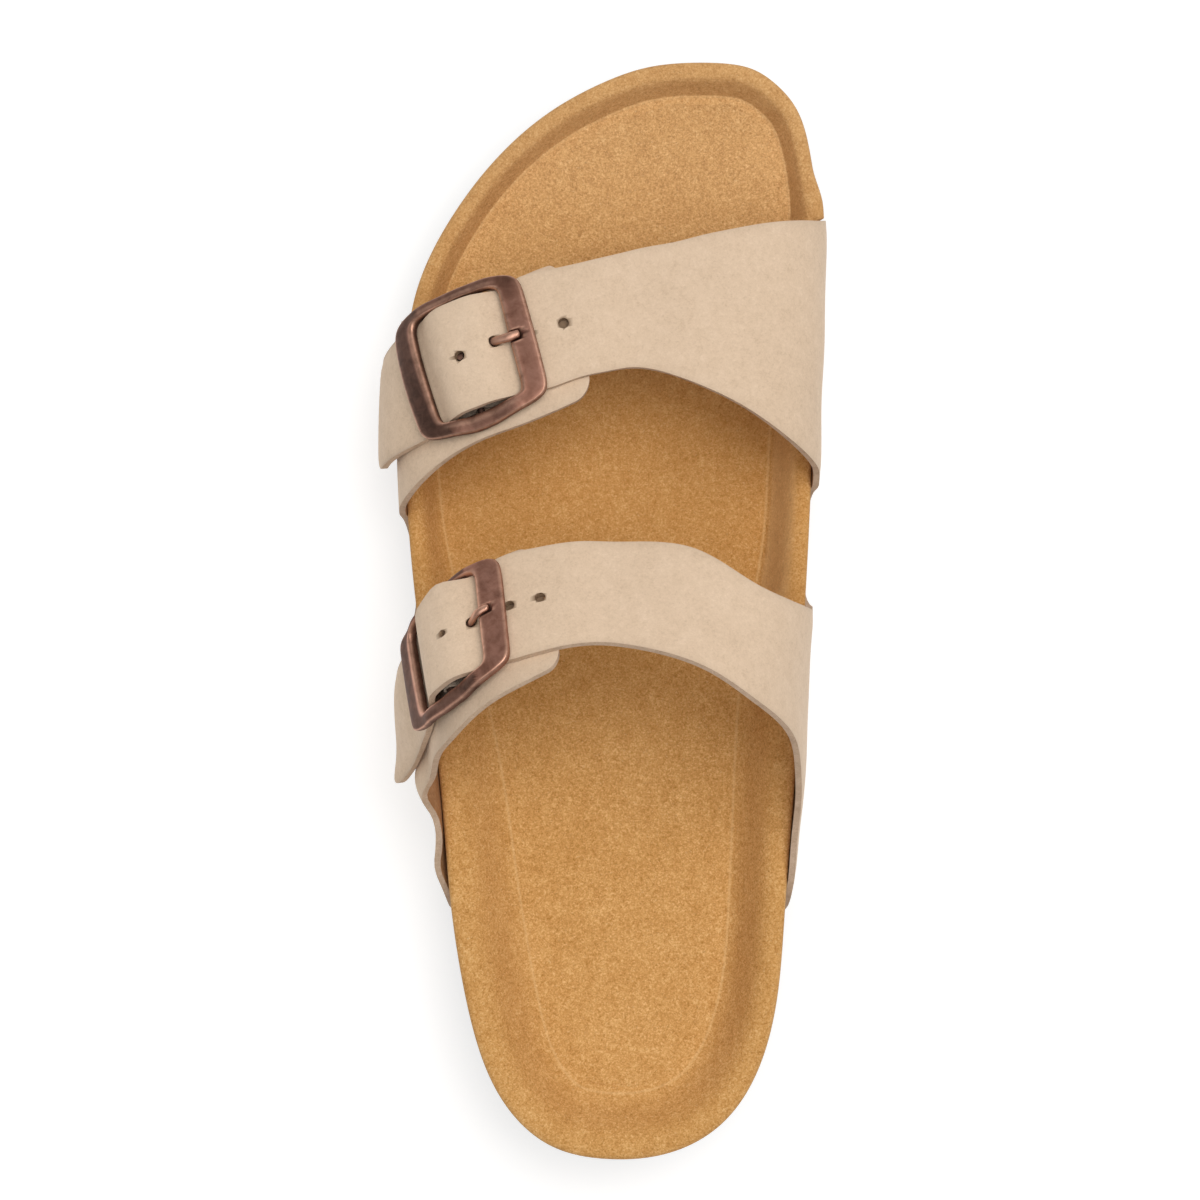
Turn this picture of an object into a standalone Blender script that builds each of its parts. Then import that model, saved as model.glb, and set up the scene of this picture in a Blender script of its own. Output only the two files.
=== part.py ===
"""Two-strap slide sandal, left shoe, standing empty on its sole.

Lengths in the tables are millimetres; the model itself is in metres.
+Y points to the toe, +X to the big-toe (medial) side, +Z up.
Every wall is worked out from one last: the outline of the footbed in plan,
the rim and bed heights along the length, and an instep arch at each station.
"""
import math

import bmesh
import bpy
import numpy as np
from mathutils import Vector

MM = 0.001

# ---------------------------------------------------------------- main sizes
LENGTH = 262.0            # heel to toe, outside of the footbed rim
HEEL_X, TOE_X = 5.2, 24.3  # where the plan axis leaves the heel and the toe
SHIFT_X, SHIFT_Y = -0.68, 0.0  # brings the middle of the box to the origin

OUTSOLE_T = 9.0           # EVA sole
OUTSOLE_CHAMFER = 1.4
TOE_SPRING = 8.5
SPRING_FROM = 0.74        # share of the length where the sole leaves the floor
GROOVE_W, GROOVE_DEEP = 3.2, 2.2
GROOVE_PITCH = 12.5
HEEL_GROOVES = (-112.0, 5)   # first groove, number
BALL_GROOVES = (22.0, 8)

INSOLE_T = 1.5
STRAP_T = 1.5
GAP = 0.35                # clearance between neighbouring pieces
RIM_GAP = 0.35            # strap clearance at the rim
RIM_CREST = 2.0           # from the outer edge of the rim to its crest
RIM_DROP = 0.8            # outer edge below the crest

WALL_DEG = 20.0           # share of the wrap angle given to the side wall

# Outlines of the buckle frame: end bars bow by long_bow, sides as each seat says.
#   half_long, long_bow, front_wide, rear_wide, squareness
FRAME_OUTSIDE = (15.75, 0.4, 13.9, 13.9, 12.0)
FRAME_OPENING = (10.1, 0.2, 12.9, 11.9, 13.0)
STRAP_HALF_WIDE = 13.4    # strap where the buckle holds it
BAR_LOW, BAR_T = 2.3, 2.2  # end bars above the short strap
SIDE_LOW = 1.2            # frame sides beside the centre bar
CENTRE_BAR_R, CENTRE_BAR_H = 0.8, 2.55
PRONG_R, PRONG_LOOP_R = 0.7, 1.7
STRAP_RISE = 4.35         # strap over the centre bar
RISE_FROM, RISE_TO = 2.2, 10.6
HOLE_R = 1.3
KEEPER_T, KEEPER_HALF, KEEPER_SLOT = 0.6, 11.4, 1.9

AROUND = 32               # stations along one side of the sole
BED_COLUMNS = 6

# ------------------------------------------------------------------- tables
# Plan outline: half widths over an ellipse of the same length.
#   along, lateral, medial
OUTLINE = (
    (0.00, 97.6, 78.2),
    (0.08, 75.8, 69.9),
    (0.16, 64.3, 59.7),
    (0.25, 56.6, 48.4),
    (0.32, 53.6, 40.9),
    (0.40, 52.7, 36.4),
    (0.48, 57.0, 34.2),
    (0.56, 63.8, 34.2),
    (0.64, 72.4, 36.0),
    (0.70, 79.5, 39.4),
    (0.76, 82.6, 44.5),
    (0.82, 84.7, 51.1),
    (0.88, 86.2, 60.7),
    (0.94, 91.7, 75.1),
    (1.00, 120.0, 115.0),
)

# Footbed heights and wall widths by share of the length from the heel.
#   share, bed, dish, rim_lat, rim_med, wall_lat, wall_med, tuck
FOOTBED = (
    (0.00, 24.5, 1.2, 34.5, 34.5, 15.0, 15.0, 1.0),
    (0.08, 22.4, 1.2, 34.5, 34.8, 16.0, 14.0, 1.0),
    (0.20, 21.8, 1.4, 33.8, 35.4, 16.5, 13.0, 1.5),
    (0.33, 23.2, 2.0, 32.8, 36.8, 15.0, 14.0, 2.7),
    (0.46, 24.0, 2.0, 32.2, 37.0, 12.0, 13.5, 3.3),
    (0.56, 22.4, 1.4, 30.6, 34.6, 8.5, 10.5, 3.5),
    (0.64, 19.8, 1.0, 28.0, 31.0, 7.5, 10.0, 3.3),
    (0.72, 18.0, 0.6, 26.0, 27.8, 7.0, 9.0, 2.6),
    (0.82, 18.4, 0.4, 25.0, 25.8, 6.7, 7.0, 2.2),
    (0.91, 20.4, 0.3, 26.6, 26.6, 6.7, 6.2, 1.3),
    (1.00, 23.5, 0.3, 29.5, 29.5, 7.6, 7.6, 1.0),
)

# Rim and wall profile from the outer edge to the crease of the bed.
#   inset share of the wall, height share between crease and crest
WALL_PROFILE = (
    (0.38, 0.80),
    (0.62, 0.42),
    (0.82, 0.14),
    (1.00, 0.00),
)

# Instep arch under the straps.
#   y, ridge_x, ridge_z, squareness
INSTEP = (
    (-80.0, 6.0, 116.0, 2.6),
    (-40.0, 7.0, 104.5, 2.6),
    (-9.0, 8.0, 87.0, 2.6),
    (15.0, 9.0, 70.5, 2.7),
    (35.0, 10.5, 63.0, 2.7),
    (57.0, 12.0, 58.0, 2.7),
    (85.0, 13.0, 51.0, 2.7),
    (108.0, 13.5, 46.0, 2.7),
)

# Straps and panels: one row for each fold across the strap, from the band
# upwards. Wrap angle 0 is the medial rim, 90 the ridge, 180 the lateral rim.
#   front_deg, front_y, rear_deg, rear_y
LONG_FRONT = (
    (-11.5, 93.5, -11.5, 15.8),
    (-11.0, 93.5, -11.0, 21.5),
    (-9.0, 93.5, -9.0, 26.0),
    (-5.0, 93.4, -5.0, 28.4),
    (0.0, 93.2, 0.0, 29.6),
    (8.0, 92.8, 8.0, 32.6),
    (16.0, 92.4, 16.0, 34.6),
    (27.0, 92.0, 27.0, 37.5),
    (39.0, 91.1, 39.0, 41.9),
    (53.0, 89.4, 53.0, 47.7),
    (67.0, 87.8, 67.0, 52.0),
    (82.0, 86.0, 82.0, 55.2),
    (97.0, 84.8, 97.0, 56.6),
    (112.0, 82.7, 109.0, 55.3),
    (126.0, 80.3, 118.0, 53.7),
    (138.8, 78.0, 127.0, 51.0),
    (145.5, 75.3, 135.5, 47.8),
    (151.5, 72.4, 142.5, 44.7),
    (158.0, 69.2, 148.5, 42.4),
    (164.0, 66.3, 154.0, 40.1),
    (171.0, 63.0, 161.5, 37.4),
    (178.0, 60.3, 169.5, 35.0),
    (186.0, 57.5, 179.5, 32.2),
)
LONG_REAR = (
    (-11.5, 14.2, -11.5, -71.6),
    (-11.0, 8.6, -11.0, -71.4),
    (-9.0, 4.2, -9.0, -70.8),
    (-5.0, 1.9, -5.0, -68.8),
    (0.0, 0.9, 0.0, -64.0),
    (8.0, 0.2, 8.0, -54.0),
    (16.0, 0.0, 16.0, -47.0),
    (30.0, 0.8, 30.0, -38.0),
    (41.0, 2.2, 41.0, -31.0),
    (52.0, 5.2, 52.0, -25.3),
    (62.0, 10.2, 62.0, -20.0),
    (72.0, 13.9, 72.0, -13.9),
    (84.0, 15.1, 84.0, -9.7),
    (97.0, 15.2, 97.0, -7.9),
    (109.0, 14.7, 105.5, -9.2),
    (120.0, 13.2, 112.5, -11.1),
    (129.5, 11.0, 118.3, -13.2),
    (135.8, 7.5, 124.5, -17.0),
    (141.5, 3.5, 130.3, -20.2),
    (146.5, -0.8, 135.8, -23.3),
    (151.0, -4.9, 141.0, -26.3),
    (157.0, -9.0, 149.8, -30.2),
    (165.0, -13.0, 160.2, -35.0),
    (177.0, -18.0, 173.5, -42.6),
)
SHORT_FRONT = (
    (191.5, 70.6, 191.5, 10.0),
    (190.7, 70.5, 190.7, 14.4),
    (188.6, 70.2, 188.6, 18.4),
    (185.0, 69.6, 185.0, 21.2),
    (180.0, 69.0, 180.0, 22.8),
    (172.5, 68.5, 171.0, 24.6),
    (166.5, 68.7, 163.8, 27.0),
    (162.0, 69.4, 157.0, 30.9),
    (156.0, 71.5, 148.5, 36.6),
    (149.0, 74.2, 141.0, 40.4),
    (142.0, 77.4, 133.5, 43.0),
    (137.0, 79.6, 124.0, 46.4),
    (131.0, 81.4, 112.0, 50.6),
)
SHORT_REAR = (
    (191.5, 8.4, 191.5, -71.0),
    (190.7, 4.6, 190.7, -70.6),
    (188.6, 1.2, 188.6, -69.6),
    (185.0, -1.4, 185.0, -67.0),
    (180.0, -3.0, 180.0, -60.0),
    (172.5, -5.0, 171.0, -49.0),
    (166.0, -6.2, 161.0, -41.5),
    (160.0, -6.4, 150.0, -36.0),
    (153.5, -5.0, 141.0, -32.5),
    (147.0, -1.2, 132.4, -28.8),
    (140.5, 4.0, 123.3, -22.4),
    (133.0, 10.4, 116.0, -17.9),
    (123.0, 14.4, 106.3, -12.4),
)
# Low bands between outsole and notch.
#   wrap_deg, front_y, rear_y
BAND_MEDIAL = ((-20.0, 93.6, -73.0), (-16.0, 93.5, -72.6))
BAND_LATERAL = ((200.0, 72.5, -72.5), (196.0, 71.6, -72.0))

# Where the leather behind the rear strap stands off the rim.
#   high, at_y, long, at_deg, wide
WING = ((3.7, -40.0, 7.5, 166.5, 6.5), (1.4, -63.0, 6.5, 180.5, 4.2))
TAIL_WING = ((4.0, -43.0, 8.0, 172.0, 9.0),)

# Swelling of the medial rim just before the front strap.
#   high, starts, full from, full to, ends
TOE_SWELL = (1.5, 92.5, 94.9, 96.5, 106.5)

# Which fold of each long strap lies on the centre bar of its buckle, how the
# frame is squared to it, its offset and scale across the strap, how far the
# frame draws in the strap's front and rear edges, the lean of the prong, how far
# the strap swells over the front side, and how far the outer end bar and the
# tail stand off.
#   bar_row, skew, centre, scale, waist_front, waist_rear, lean, bulge, tip, bow,
#   then bow of the frame's sides: outside front, rear, opening front, rear
SEAT_FRONT = (17.08, -0.08, -0.7, 1.0, 0.92, 0.915, 0.9, 0.0, 0.0, 0.0, 3.0, 2.0, 1.3, 0.2)
SEAT_REAR = (18.10, -0.05, -0.9, 0.97, 0.865, 0.89, 0.0, 0.10, 1.0, 2.0, 1.5, 1.7, 0.7, 0.0)
# Free holes of each long strap, before the centre bar.
HOLES_FRONT = (-0.85, 14.65, 22.85)
HOLES_REAR = (2.55, 16.55, 23.55)

# Height of a long strap above the last, by distance before the centre bar.
#   before, lift
TAIL_LIFT = ((-18.0, 1.95), (-24.0, 2.6), (-30.0, 3.6), (-44.0, 4.9))
OVER_LIFT = ((27.0, 1.95), (31.0, 1.65), (36.0, 0.7), (41.0, 0.1), (44.0, 0.0))


# ------------------------------------------------------------ interpolation
def curve_through(xs, ys):
    """Natural cubic through the rows of a table."""
    xs, ys = np.array(xs, float), np.array(ys, float)
    n, h = len(xs), np.diff(xs)
    a, b = np.zeros((n, n)), np.zeros(n)
    a[0, 0] = a[-1, -1] = 1.0
    for i in range(1, n - 1):
        a[i, i - 1:i + 2] = h[i - 1], 2 * (h[i - 1] + h[i]), h[i]
        b[i] = 6 * ((ys[i + 1] - ys[i]) / h[i] - (ys[i] - ys[i - 1]) / h[i - 1])
    m = np.linalg.solve(a, b)

    def at(x):
        x = np.clip(np.asarray(x, float), xs[0], xs[-1])
        i = np.clip(np.searchsorted(xs, x) - 1, 0, n - 2)
        d, e, w = x - xs[i], xs[i + 1] - x, h[i]
        return (m[i] * e ** 3 + m[i + 1] * d ** 3) / (6 * w) \
            + (ys[i] / w - m[i] * w / 6) * e + (ys[i + 1] / w - m[i + 1] * w / 6) * d
    return at


def columns(table, key=0):
    """One curve for each column of a table, over its first column."""
    t = np.array(table)
    return [curve_through(t[:, key], t[:, c]) for c in range(t.shape[1]) if c != key]


def ease(a, b, x):
    w = np.clip((np.asarray(x, float) - a) / (b - a), 0.0, 1.0)
    return w * w * (3 - 2 * w)


lat_of, med_of = columns(OUTLINE)
bed_of, dish_of, rim_lat_of, rim_med_of, wall_lat_of, wall_med_of, tuck_of = columns(FOOTBED)
ridge_x_of, ridge_z_of, square_of = columns(INSTEP)


# ------------------------------------------------------------------ the last
def share(y):
    return (np.asarray(y, float) + LENGTH / 2) / LENGTH


def edge_x(y, side):
    """Outer edge of the rim in plan; side +1 medial, -1 lateral."""
    y = np.asarray(y, float)
    t = np.arccos(np.clip(-2 * y / LENGTH, -1, 1)) / math.pi
    axis = HEEL_X + (TOE_X - HEEL_X) * share(y)
    return axis + np.sin(math.pi * t) * (med_of(t) if side > 0 else -lat_of(t))


def toe_swell(y, side):
    """How far the rim swells outwards just before the front strap."""
    high, a, b, c, d = TOE_SWELL
    return np.where(side > 0, high * ease(a, b, y) * (1 - ease(c, d, y)), 0.0)


def floor_z(y):
    """Underside of the sole: flat, with the toe sprung up."""
    s = share(y)
    return TOE_SPRING * np.clip((s - SPRING_FROM) / (1 - SPRING_FROM), 0, None) ** 1.8


def deck_z(y):
    """Top of the outsole."""
    return floor_z(y) + OUTSOLE_T


def last_at(deg, y):
    """Inside of the upper at a wrap angle and a place along the shoe."""
    deg, y = np.broadcast_arrays(np.asarray(deg, float), np.asarray(y, float))
    s = share(y)
    xm, xl = edge_x(y, 1) + RIM_GAP, edge_x(y, -1) - RIM_GAP
    zm, zl = rim_med_of(s), rim_lat_of(s)
    ridge = ridge_x_of(y)
    arc = np.radians(np.clip(deg, 0.0, 180.0))
    c, k = np.cos(arc), np.sin(arc)
    reach = np.where(c >= 0, xm - ridge, ridge - xl)
    base = zm + (zl - zm) * ease(0, 180, deg)
    n = square_of(y)
    r = ((np.abs(c) / reach) ** n + (k / (ridge_z_of(y) - base)) ** n) ** (-1 / n)
    x, z = ridge + r * c, base + r * k
    down = np.clip(np.where(deg < 0, -deg, deg - 180.0), 0, None) / WALL_DEG
    side = np.where(deg < 90, 1.0, -1.0)
    x = x - side * down * (tuck_of(s) + RIM_GAP - GAP)
    z = z + down * (deck_z(y) + GAP - z)
    return np.stack([x, y, z], -1)


def last_normal(deg, y, step=0.1):
    d = last_at(np.asarray(deg) + step, y) - last_at(np.asarray(deg) - step, y)
    e = last_at(deg, np.asarray(y) + step) - last_at(deg, np.asarray(y) - step)
    n = np.cross(e, d)
    return n / np.linalg.norm(n, axis=-1, keepdims=True)


def off_last(deg, y, lift):
    lift = np.asarray(lift, float)[..., None]
    return last_at(deg, y) + lift * last_normal(deg, y)


class Strap:
    """A strap given by its folds; across runs from +1 (front) to -1 (rear)."""

    def __init__(self, rows):
        t = np.array(rows)
        self.last_row = len(t) - 1
        index = np.arange(len(t))
        self.cols = [curve_through(index, t[:, c]) for c in range(4)]
        fine = np.linspace(0, self.last_row, 40 * self.last_row + 1)
        mid = last_at(*self.place(fine, 0.0))
        run = np.concatenate([[0], np.cumsum(np.linalg.norm(np.diff(mid, axis=0), axis=1))])
        self.fine, self.run = fine, run

    def place(self, row, across):
        fd, fy, rd, ry = (c(row) for c in self.cols)
        w = (np.asarray(across, float) + 1) / 2
        return rd + (fd - rd) * w, ry + (fy - ry) * w

    def length_at(self, row):
        return np.interp(row, self.fine, self.run)

    def row_at(self, length):
        return np.interp(length, self.run, self.fine)


long_front, long_rear = Strap(LONG_FRONT), Strap(LONG_REAR)
short_front, short_rear = Strap(SHORT_FRONT), Strap(SHORT_REAR)


def strap_lift(before):
    """Height of a long strap above the last, before (+) or past (-) the bar."""
    before = np.asarray(before, float)
    rise = STRAP_RISE - GAP
    hump = rise * (1 - ease(RISE_FROM, RISE_TO, np.abs(before)))
    over = np.interp(before, *np.array(OVER_LIFT).T)
    tail = np.interp(before, *np.array(TAIL_LIFT)[::-1].T)
    return np.where(before > 0, over, tail) + hump


class BuckleSeat:
    """Places pieces by distance before the bar, across the frame and height
    above the short strap."""

    def __init__(self, strap, bar_row, skew, centre, scale, waist_front, waist_rear, lean, bulge, tip, bow, *side_bows):
        self.strap, self.skew, self.centre, self.scale = strap, skew, centre, scale
        self.waist_front, self.waist_rear, self.lean = waist_front, waist_rear, lean
        self.bulge, self.tip, self.bow = bulge, tip, bow
        self.outside_bows, self.opening_bows = side_bows[:2], side_bows[2:]
        self.bar_length = float(strap.length_at(bar_row))

    def at(self, before, across, height):
        before, across, height = np.broadcast_arrays(
            np.asarray(before, float), np.asarray(across, float), np.asarray(height, float))
        row = self.strap.row_at(self.bar_length - before - self.skew * across)
        deg, y = self.strap.place(row, (across * self.scale + self.centre) / STRAP_HALF_WIDE)
        return off_last(deg, y, height + STRAP_T)

    def prong_line(self, before):
        """Across the frame: the middle of the strap, where the prong lies."""
        return (self.lean * (1 - ease(5.0, 11.0, before)) - self.centre) / self.scale

    def fold(self, length, across):
        """Place on the last of a point of the strap, drawn in by the frame."""
        before, across = self.bar_length - length, np.asarray(across, float)
        bulge = self.bulge * np.exp(-((before - 1.7) / 2.9) ** 2)
        before = np.abs(before)
        waist = np.where(across > 0, self.waist_front + bulge, self.waist_rear)
        across = across * (1 - (1 - waist) * (1 - ease(9.8, 17.0, before)))
        slant = self.skew * STRAP_HALF_WIDE * (1 - ease(14.0, 24.0, before))
        return self.strap.place(self.strap.row_at(length - slant * across), across)

    def tail_bow(self, length, across):
        """How far the strap's tail stands off, most along its middle."""
        w = (1 + across) / 2
        return self.bow * ease(15.0, 28.0, length - self.bar_length) * w * (3.55 - 3.1 * w)


seat_front = BuckleSeat(long_front, *SEAT_FRONT)
seat_rear = BuckleSeat(long_rear, *SEAT_REAR)


# ------------------------------------------------------------ scene plumbing
for old in list(bpy.data.objects):
    bpy.data.objects.remove(old, do_unlink=True)

sandal = bpy.data.collections.new("slide_sandal")
cutters = bpy.data.collections.new("cutters")
bpy.context.scene.collection.children.link(sandal)
bpy.context.scene.collection.children.link(cutters)


def finish(name, color, roughness, metallic=0.0):
    m = bpy.data.materials.new(name)
    m.use_nodes = True
    b = m.node_tree.nodes["Principled BSDF"]
    b.inputs["Base Color"].default_value = (*color, 1.0)
    b.inputs["Roughness"].default_value = roughness
    b.inputs["Metallic"].default_value = metallic
    return m


EVA = finish("eva", (0.09, 0.06, 0.045), 0.75)
CORK = finish("cork", (0.42, 0.27, 0.14), 0.85)
SUEDE = finish("suede", (0.55, 0.32, 0.14), 0.95)
NUBUCK_M = finish("nubuck_medial", (0.70, 0.54, 0.40), 0.8)
NUBUCK_L = finish("nubuck_lateral", (0.66, 0.50, 0.37), 0.8)
COPPER_F = finish("copper_front", (0.30, 0.19, 0.14), 0.35, 1.0)
COPPER_R = finish("copper_rear", (0.30, 0.19, 0.14), 0.35, 1.0)
WIRE_F = finish("prong_front", (0.36, 0.23, 0.17), 0.3, 1.0)
WIRE_R = finish("prong_rear", (0.36, 0.23, 0.17), 0.3, 1.0)
STRIP_F = finish("keeper_front", (0.40, 0.31, 0.24), 0.85)
STRIP_R = finish("keeper_rear", (0.40, 0.31, 0.24), 0.85)


def metres(p):
    return Vector(((p[0] + SHIFT_X) * MM, (p[1] + SHIFT_Y) * MM, p[2] * MM))


def add_object(name, data, material=None, group=sandal):
    ob = bpy.data.objects.new(name, data)
    group.objects.link(ob)
    if material:
        data.materials.append(material)
    if group is cutters:
        ob.hide_render = True
        ob.display_type = 'WIRE'
    return ob


def mesh_from(name, points, faces):
    me = bpy.data.meshes.new(name)
    me.from_pydata([metres(p) for p in points], [], faces)
    me.validate()
    me.shade_smooth()
    me.set_sharp_from_angle(angle=math.radians(35))
    return me


def face_out(me):
    bm = bmesh.new()
    bm.from_mesh(me)
    bmesh.ops.recalc_face_normals(bm, faces=bm.faces)
    bm.to_mesh(me)
    bm.free()


def solidify(ob, thickness, offset):
    mod = ob.modifiers.new("wall", 'SOLIDIFY')
    mod.thickness = thickness * MM
    mod.offset = offset
    mod.use_even_offset = False
    mod.use_rim = True


def cut(ob, other, operation='DIFFERENCE'):
    mod = ob.modifiers.new(operation.lower(), 'BOOLEAN')
    mod.operation = operation
    mod.solver = 'EXACT'
    mod.object = other


# ---------------------------------------------------------------- sole loops
# A loop runs from the heel tip along the medial side to the toe and back.
STATIONS = np.arange(AROUND + 1) / AROUND
LOOP_Y = np.concatenate([-LENGTH / 2 * np.cos(math.pi * STATIONS),
                         -LENGTH / 2 * np.cos(math.pi * STATIONS[-2:0:-1])])
LOOP_SIDE = np.array([1] * (AROUND + 1) + [-1] * (AROUND - 1))
LOOP_X = np.where(LOOP_SIDE > 0, edge_x(LOOP_Y, 1), edge_x(LOOP_Y, -1))
COUNT = 2 * AROUND


def loop_inward():
    p = np.stack([LOOP_X, LOOP_Y], -1)
    d = np.roll(p, -1, 0) - np.roll(p, 1, 0)
    n = np.stack([-d[:, 1], d[:, 0]], -1)
    return n / np.linalg.norm(n, axis=1, keepdims=True)


INWARD = loop_inward()


def loop_inset(inset):
    inset = np.broadcast_to(inset, (COUNT,))
    inset = inset - toe_swell(LOOP_Y, LOOP_SIDE) * np.clip(1 - inset / 6.0, 0, 1)
    return np.stack([LOOP_X, LOOP_Y], -1) + INWARD * inset[:, None]


def by_side(lat, med):
    """A quantity that differs from side to side, blended round the tips."""
    s = share(LOOP_Y)
    l, m = lat(s), med(s)
    across = np.sin(math.pi * np.arccos(np.clip(-2 * LOOP_Y / LENGTH, -1, 1)) / math.pi)
    mean = (l + m) / 2
    return mean + (np.where(LOOP_SIDE > 0, m, l) - mean) * np.clip(across * 3, 0, 1)


RIM_Z = by_side(rim_lat_of, rim_med_of)
WALL_W = by_side(wall_lat_of, wall_med_of)
LOOP_S = share(LOOP_Y)
CREASE_Z = bed_of(LOOP_S) + dish_of(LOOP_S)
TUCK = tuck_of(LOOP_S)
LEDGE = np.maximum(0.2, TUCK - GAP - STRAP_T)  # outsole flush with the upper


def ring(xy, z):
    return np.column_stack([xy, np.broadcast_to(z, (COUNT,))])


def strips(first, second):
    """Quads between two loops given by their first indices."""
    return [(first + i, first + (i + 1) % COUNT, second + (i + 1) % COUNT, second + i)
            for i in range(COUNT)]


def ladder(start):
    """Closes a loop by rungs from its medial to its lateral side."""
    faces = [(start, start + 1, start + COUNT - 1),
             (start + AROUND, start + AROUND + 1, start + AROUND - 1)]
    for j in range(1, AROUND - 1):
        faces.append((start + j, start + j + 1, start + COUNT - j - 1, start + COUNT - j))
    return faces


def bed_surface():
    """Open surface of the bed: rim edge, crest, wall and dished middle."""
    loops = [ring(loop_inset(0.0), RIM_Z - RIM_DROP), ring(loop_inset(RIM_CREST), RIM_Z)]
    for inset, high in WALL_PROFILE:
        loops.append(ring(loop_inset(RIM_CREST + (WALL_W - RIM_CREST) * (inset - 0.0)),
                          CREASE_Z + (RIM_Z - CREASE_Z) * high))
    points = np.concatenate(loops)
    faces = []
    for k in range(len(loops) - 1):
        faces += strips(k * COUNT, (k + 1) * COUNT)
    start = (len(loops) - 1) * COUNT
    crease = loops[-1]
    rows, extra = {}, []
    for j in range(1, AROUND):
        med, lat = crease[j], crease[COUNT - j]
        ids = [start + j]
        for c in range(1, BED_COLUMNS):
            w = c / BED_COLUMNS
            p = med + (lat - med) * w
            level = min(1.0, abs(med[0] - lat[0]) / 45.0)
            p[2] -= level * dish_of(share(p[1])) * (1 - (2 * w - 1) ** 2)
            ids.append(len(points) + len(extra))
            extra.append(p)
        rows[j] = ids + [start + COUNT - j]
    for j in range(1, AROUND - 1):
        for c in range(BED_COLUMNS):
            faces.append((rows[j][c], rows[j + 1][c], rows[j + 1][c + 1], rows[j][c + 1]))
    for c in range(BED_COLUMNS):
        faces.append((start, rows[1][c], rows[1][c + 1]))
        faces.append((start + AROUND, rows[AROUND - 1][c + 1], rows[AROUND - 1][c]))
    return np.concatenate([points, np.array(extra)]), faces


# -------------------------------------------------------------------- insole
bed_points, bed_faces = bed_surface()
insole_mesh = mesh_from("insole", bed_points, bed_faces)
insole = add_object("insole", insole_mesh, SUEDE)
solidify(insole, INSOLE_T, -1.0)

# ------------------------------------------------------------------- footbed
bm = bmesh.new()
bm.from_mesh(insole_mesh)
bm.normal_update()
bm.verts.ensure_lookup_table()
under = np.array([(v.co - v.normal * (INSOLE_T + GAP) * MM) / MM for v in bm.verts])
bm.free()
under -= np.array([SHIFT_X, SHIFT_Y, 0.0])
deck = deck_z(LOOP_Y) + GAP
high = RIM_Z - RIM_DROP - INSOLE_T - 2.0
drop = (RIM_Z - high) / (RIM_Z - deck)
shoulder = ring(loop_inset(TUCK * drop + 0.05), high)
middle = ring(loop_inset(TUCK * (drop + 1) / 2 + 0.05), (high + deck) / 2)
foot = ring(loop_inset(TUCK + 0.05), deck)
base = len(under)
faces = [tuple(f) for f in bed_faces]
faces += strips(base, 0) + strips(base + COUNT, base) + strips(base + 2 * COUNT, base + COUNT)
faces += ladder(base + 2 * COUNT)
footbed_mesh = mesh_from("footbed", np.concatenate([under, shoulder, middle, foot]), faces)
face_out(footbed_mesh)
footbed = add_object("footbed", footbed_mesh, CORK)

# ------------------------------------------------------------------- outsole
loops = [
    ring(loop_inset(LEDGE + OUTSOLE_CHAMFER + 0.5), floor_z(LOOP_Y)),
    ring(loop_inset(LEDGE + 0.6), floor_z(LOOP_Y) + OUTSOLE_CHAMFER),
    ring(loop_inset(LEDGE), deck_z(LOOP_Y)),
]
faces = ladder(0) + strips(0, COUNT) + strips(COUNT, 2 * COUNT) + ladder(2 * COUNT)
outsole_mesh = mesh_from("outsole", np.concatenate(loops), faces)
face_out(outsole_mesh)
outsole = add_object("outsole", outsole_mesh, EVA)

grooves = bpy.data.collections.new("tread_grooves")
cutters.children.link(grooves)
for first, number in (HEEL_GROOVES, BALL_GROOVES):
    for i in range(number):
        y = first + i * GROOVE_PITCH
        slope = float(floor_z(y + 1) - floor_z(y - 1)) / 2
        bm = bmesh.new()
        bmesh.ops.create_cube(bm, size=1.0)
        me = bpy.data.meshes.new("groove")
        bm.to_mesh(me)
        bm.free()
        g = bpy.data.objects.new("groove", me)
        grooves.objects.link(g)
        g.scale = (150 * MM, GROOVE_W * MM, 2 * GROOVE_DEEP * MM)
        g.rotation_euler = (math.atan(slope), 0, 0)
        g.location = metres((0, y, float(floor_z(y))))
        g.hide_render = True
        g.display_type = 'WIRE'
tread = outsole.modifiers.new("tread", 'BOOLEAN')
tread.operation = 'DIFFERENCE'
tread.solver = 'EXACT'
tread.operand_type = 'COLLECTION'
tread.collection = grooves


# --------------------------------------------------------------------- upper
def end_rows(strap, step, corner, seat):
    """Rows along a strap, closer together at the notch, over the centre bar
    and at its rounded end."""
    total = strap.run[-1]

    def even(a, b):
        return np.linspace(a, b, max(2, int(round((b - a) / step)) + 1))

    rows = [np.array([0.0, 0.5, 1.4, 2.9])]
    if seat:
        hump = seat.bar_length - np.array([12.4, 10.2, 8.2, 6.2, 4.2, 1.9, -1.9, -4.2, -6.2, -8.2, -10.2, -12.4])
        rows += [even(5.0, hump[0] - 3.0), hump, even(hump[-1] + 3.0, total - corner)]
    else:
        rows += [even(5.0, total - corner)]
    return np.concatenate(rows + [total - corner * np.array([0.6, 0.3, 0.1, 0.0])])


def strap_grid(strap, lengths, cols, corner, half, lift, seat):
    """Points of a strap, row by row, its far end rounded by the corner."""
    total, rows = strap.run[-1], []
    for u in lengths:
        d = min(total - u, corner)
        inset = corner - math.sqrt(max(corner ** 2 - (corner - d) ** 2, 0.0))
        across = np.linspace(1, -1, cols + 1) * (1 - inset / half)
        deg, y = seat.fold(u, across) if seat else strap.place(strap.row_at(u), across)
        off = seat.tail_bow(u, across) if seat else 0.0
        off = off + flare(deg, y, TAIL_WING if seat else WING)
        rows.append(off_last(deg, y, np.full(cols + 1, lift(u)) + off))
    return rows


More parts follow.
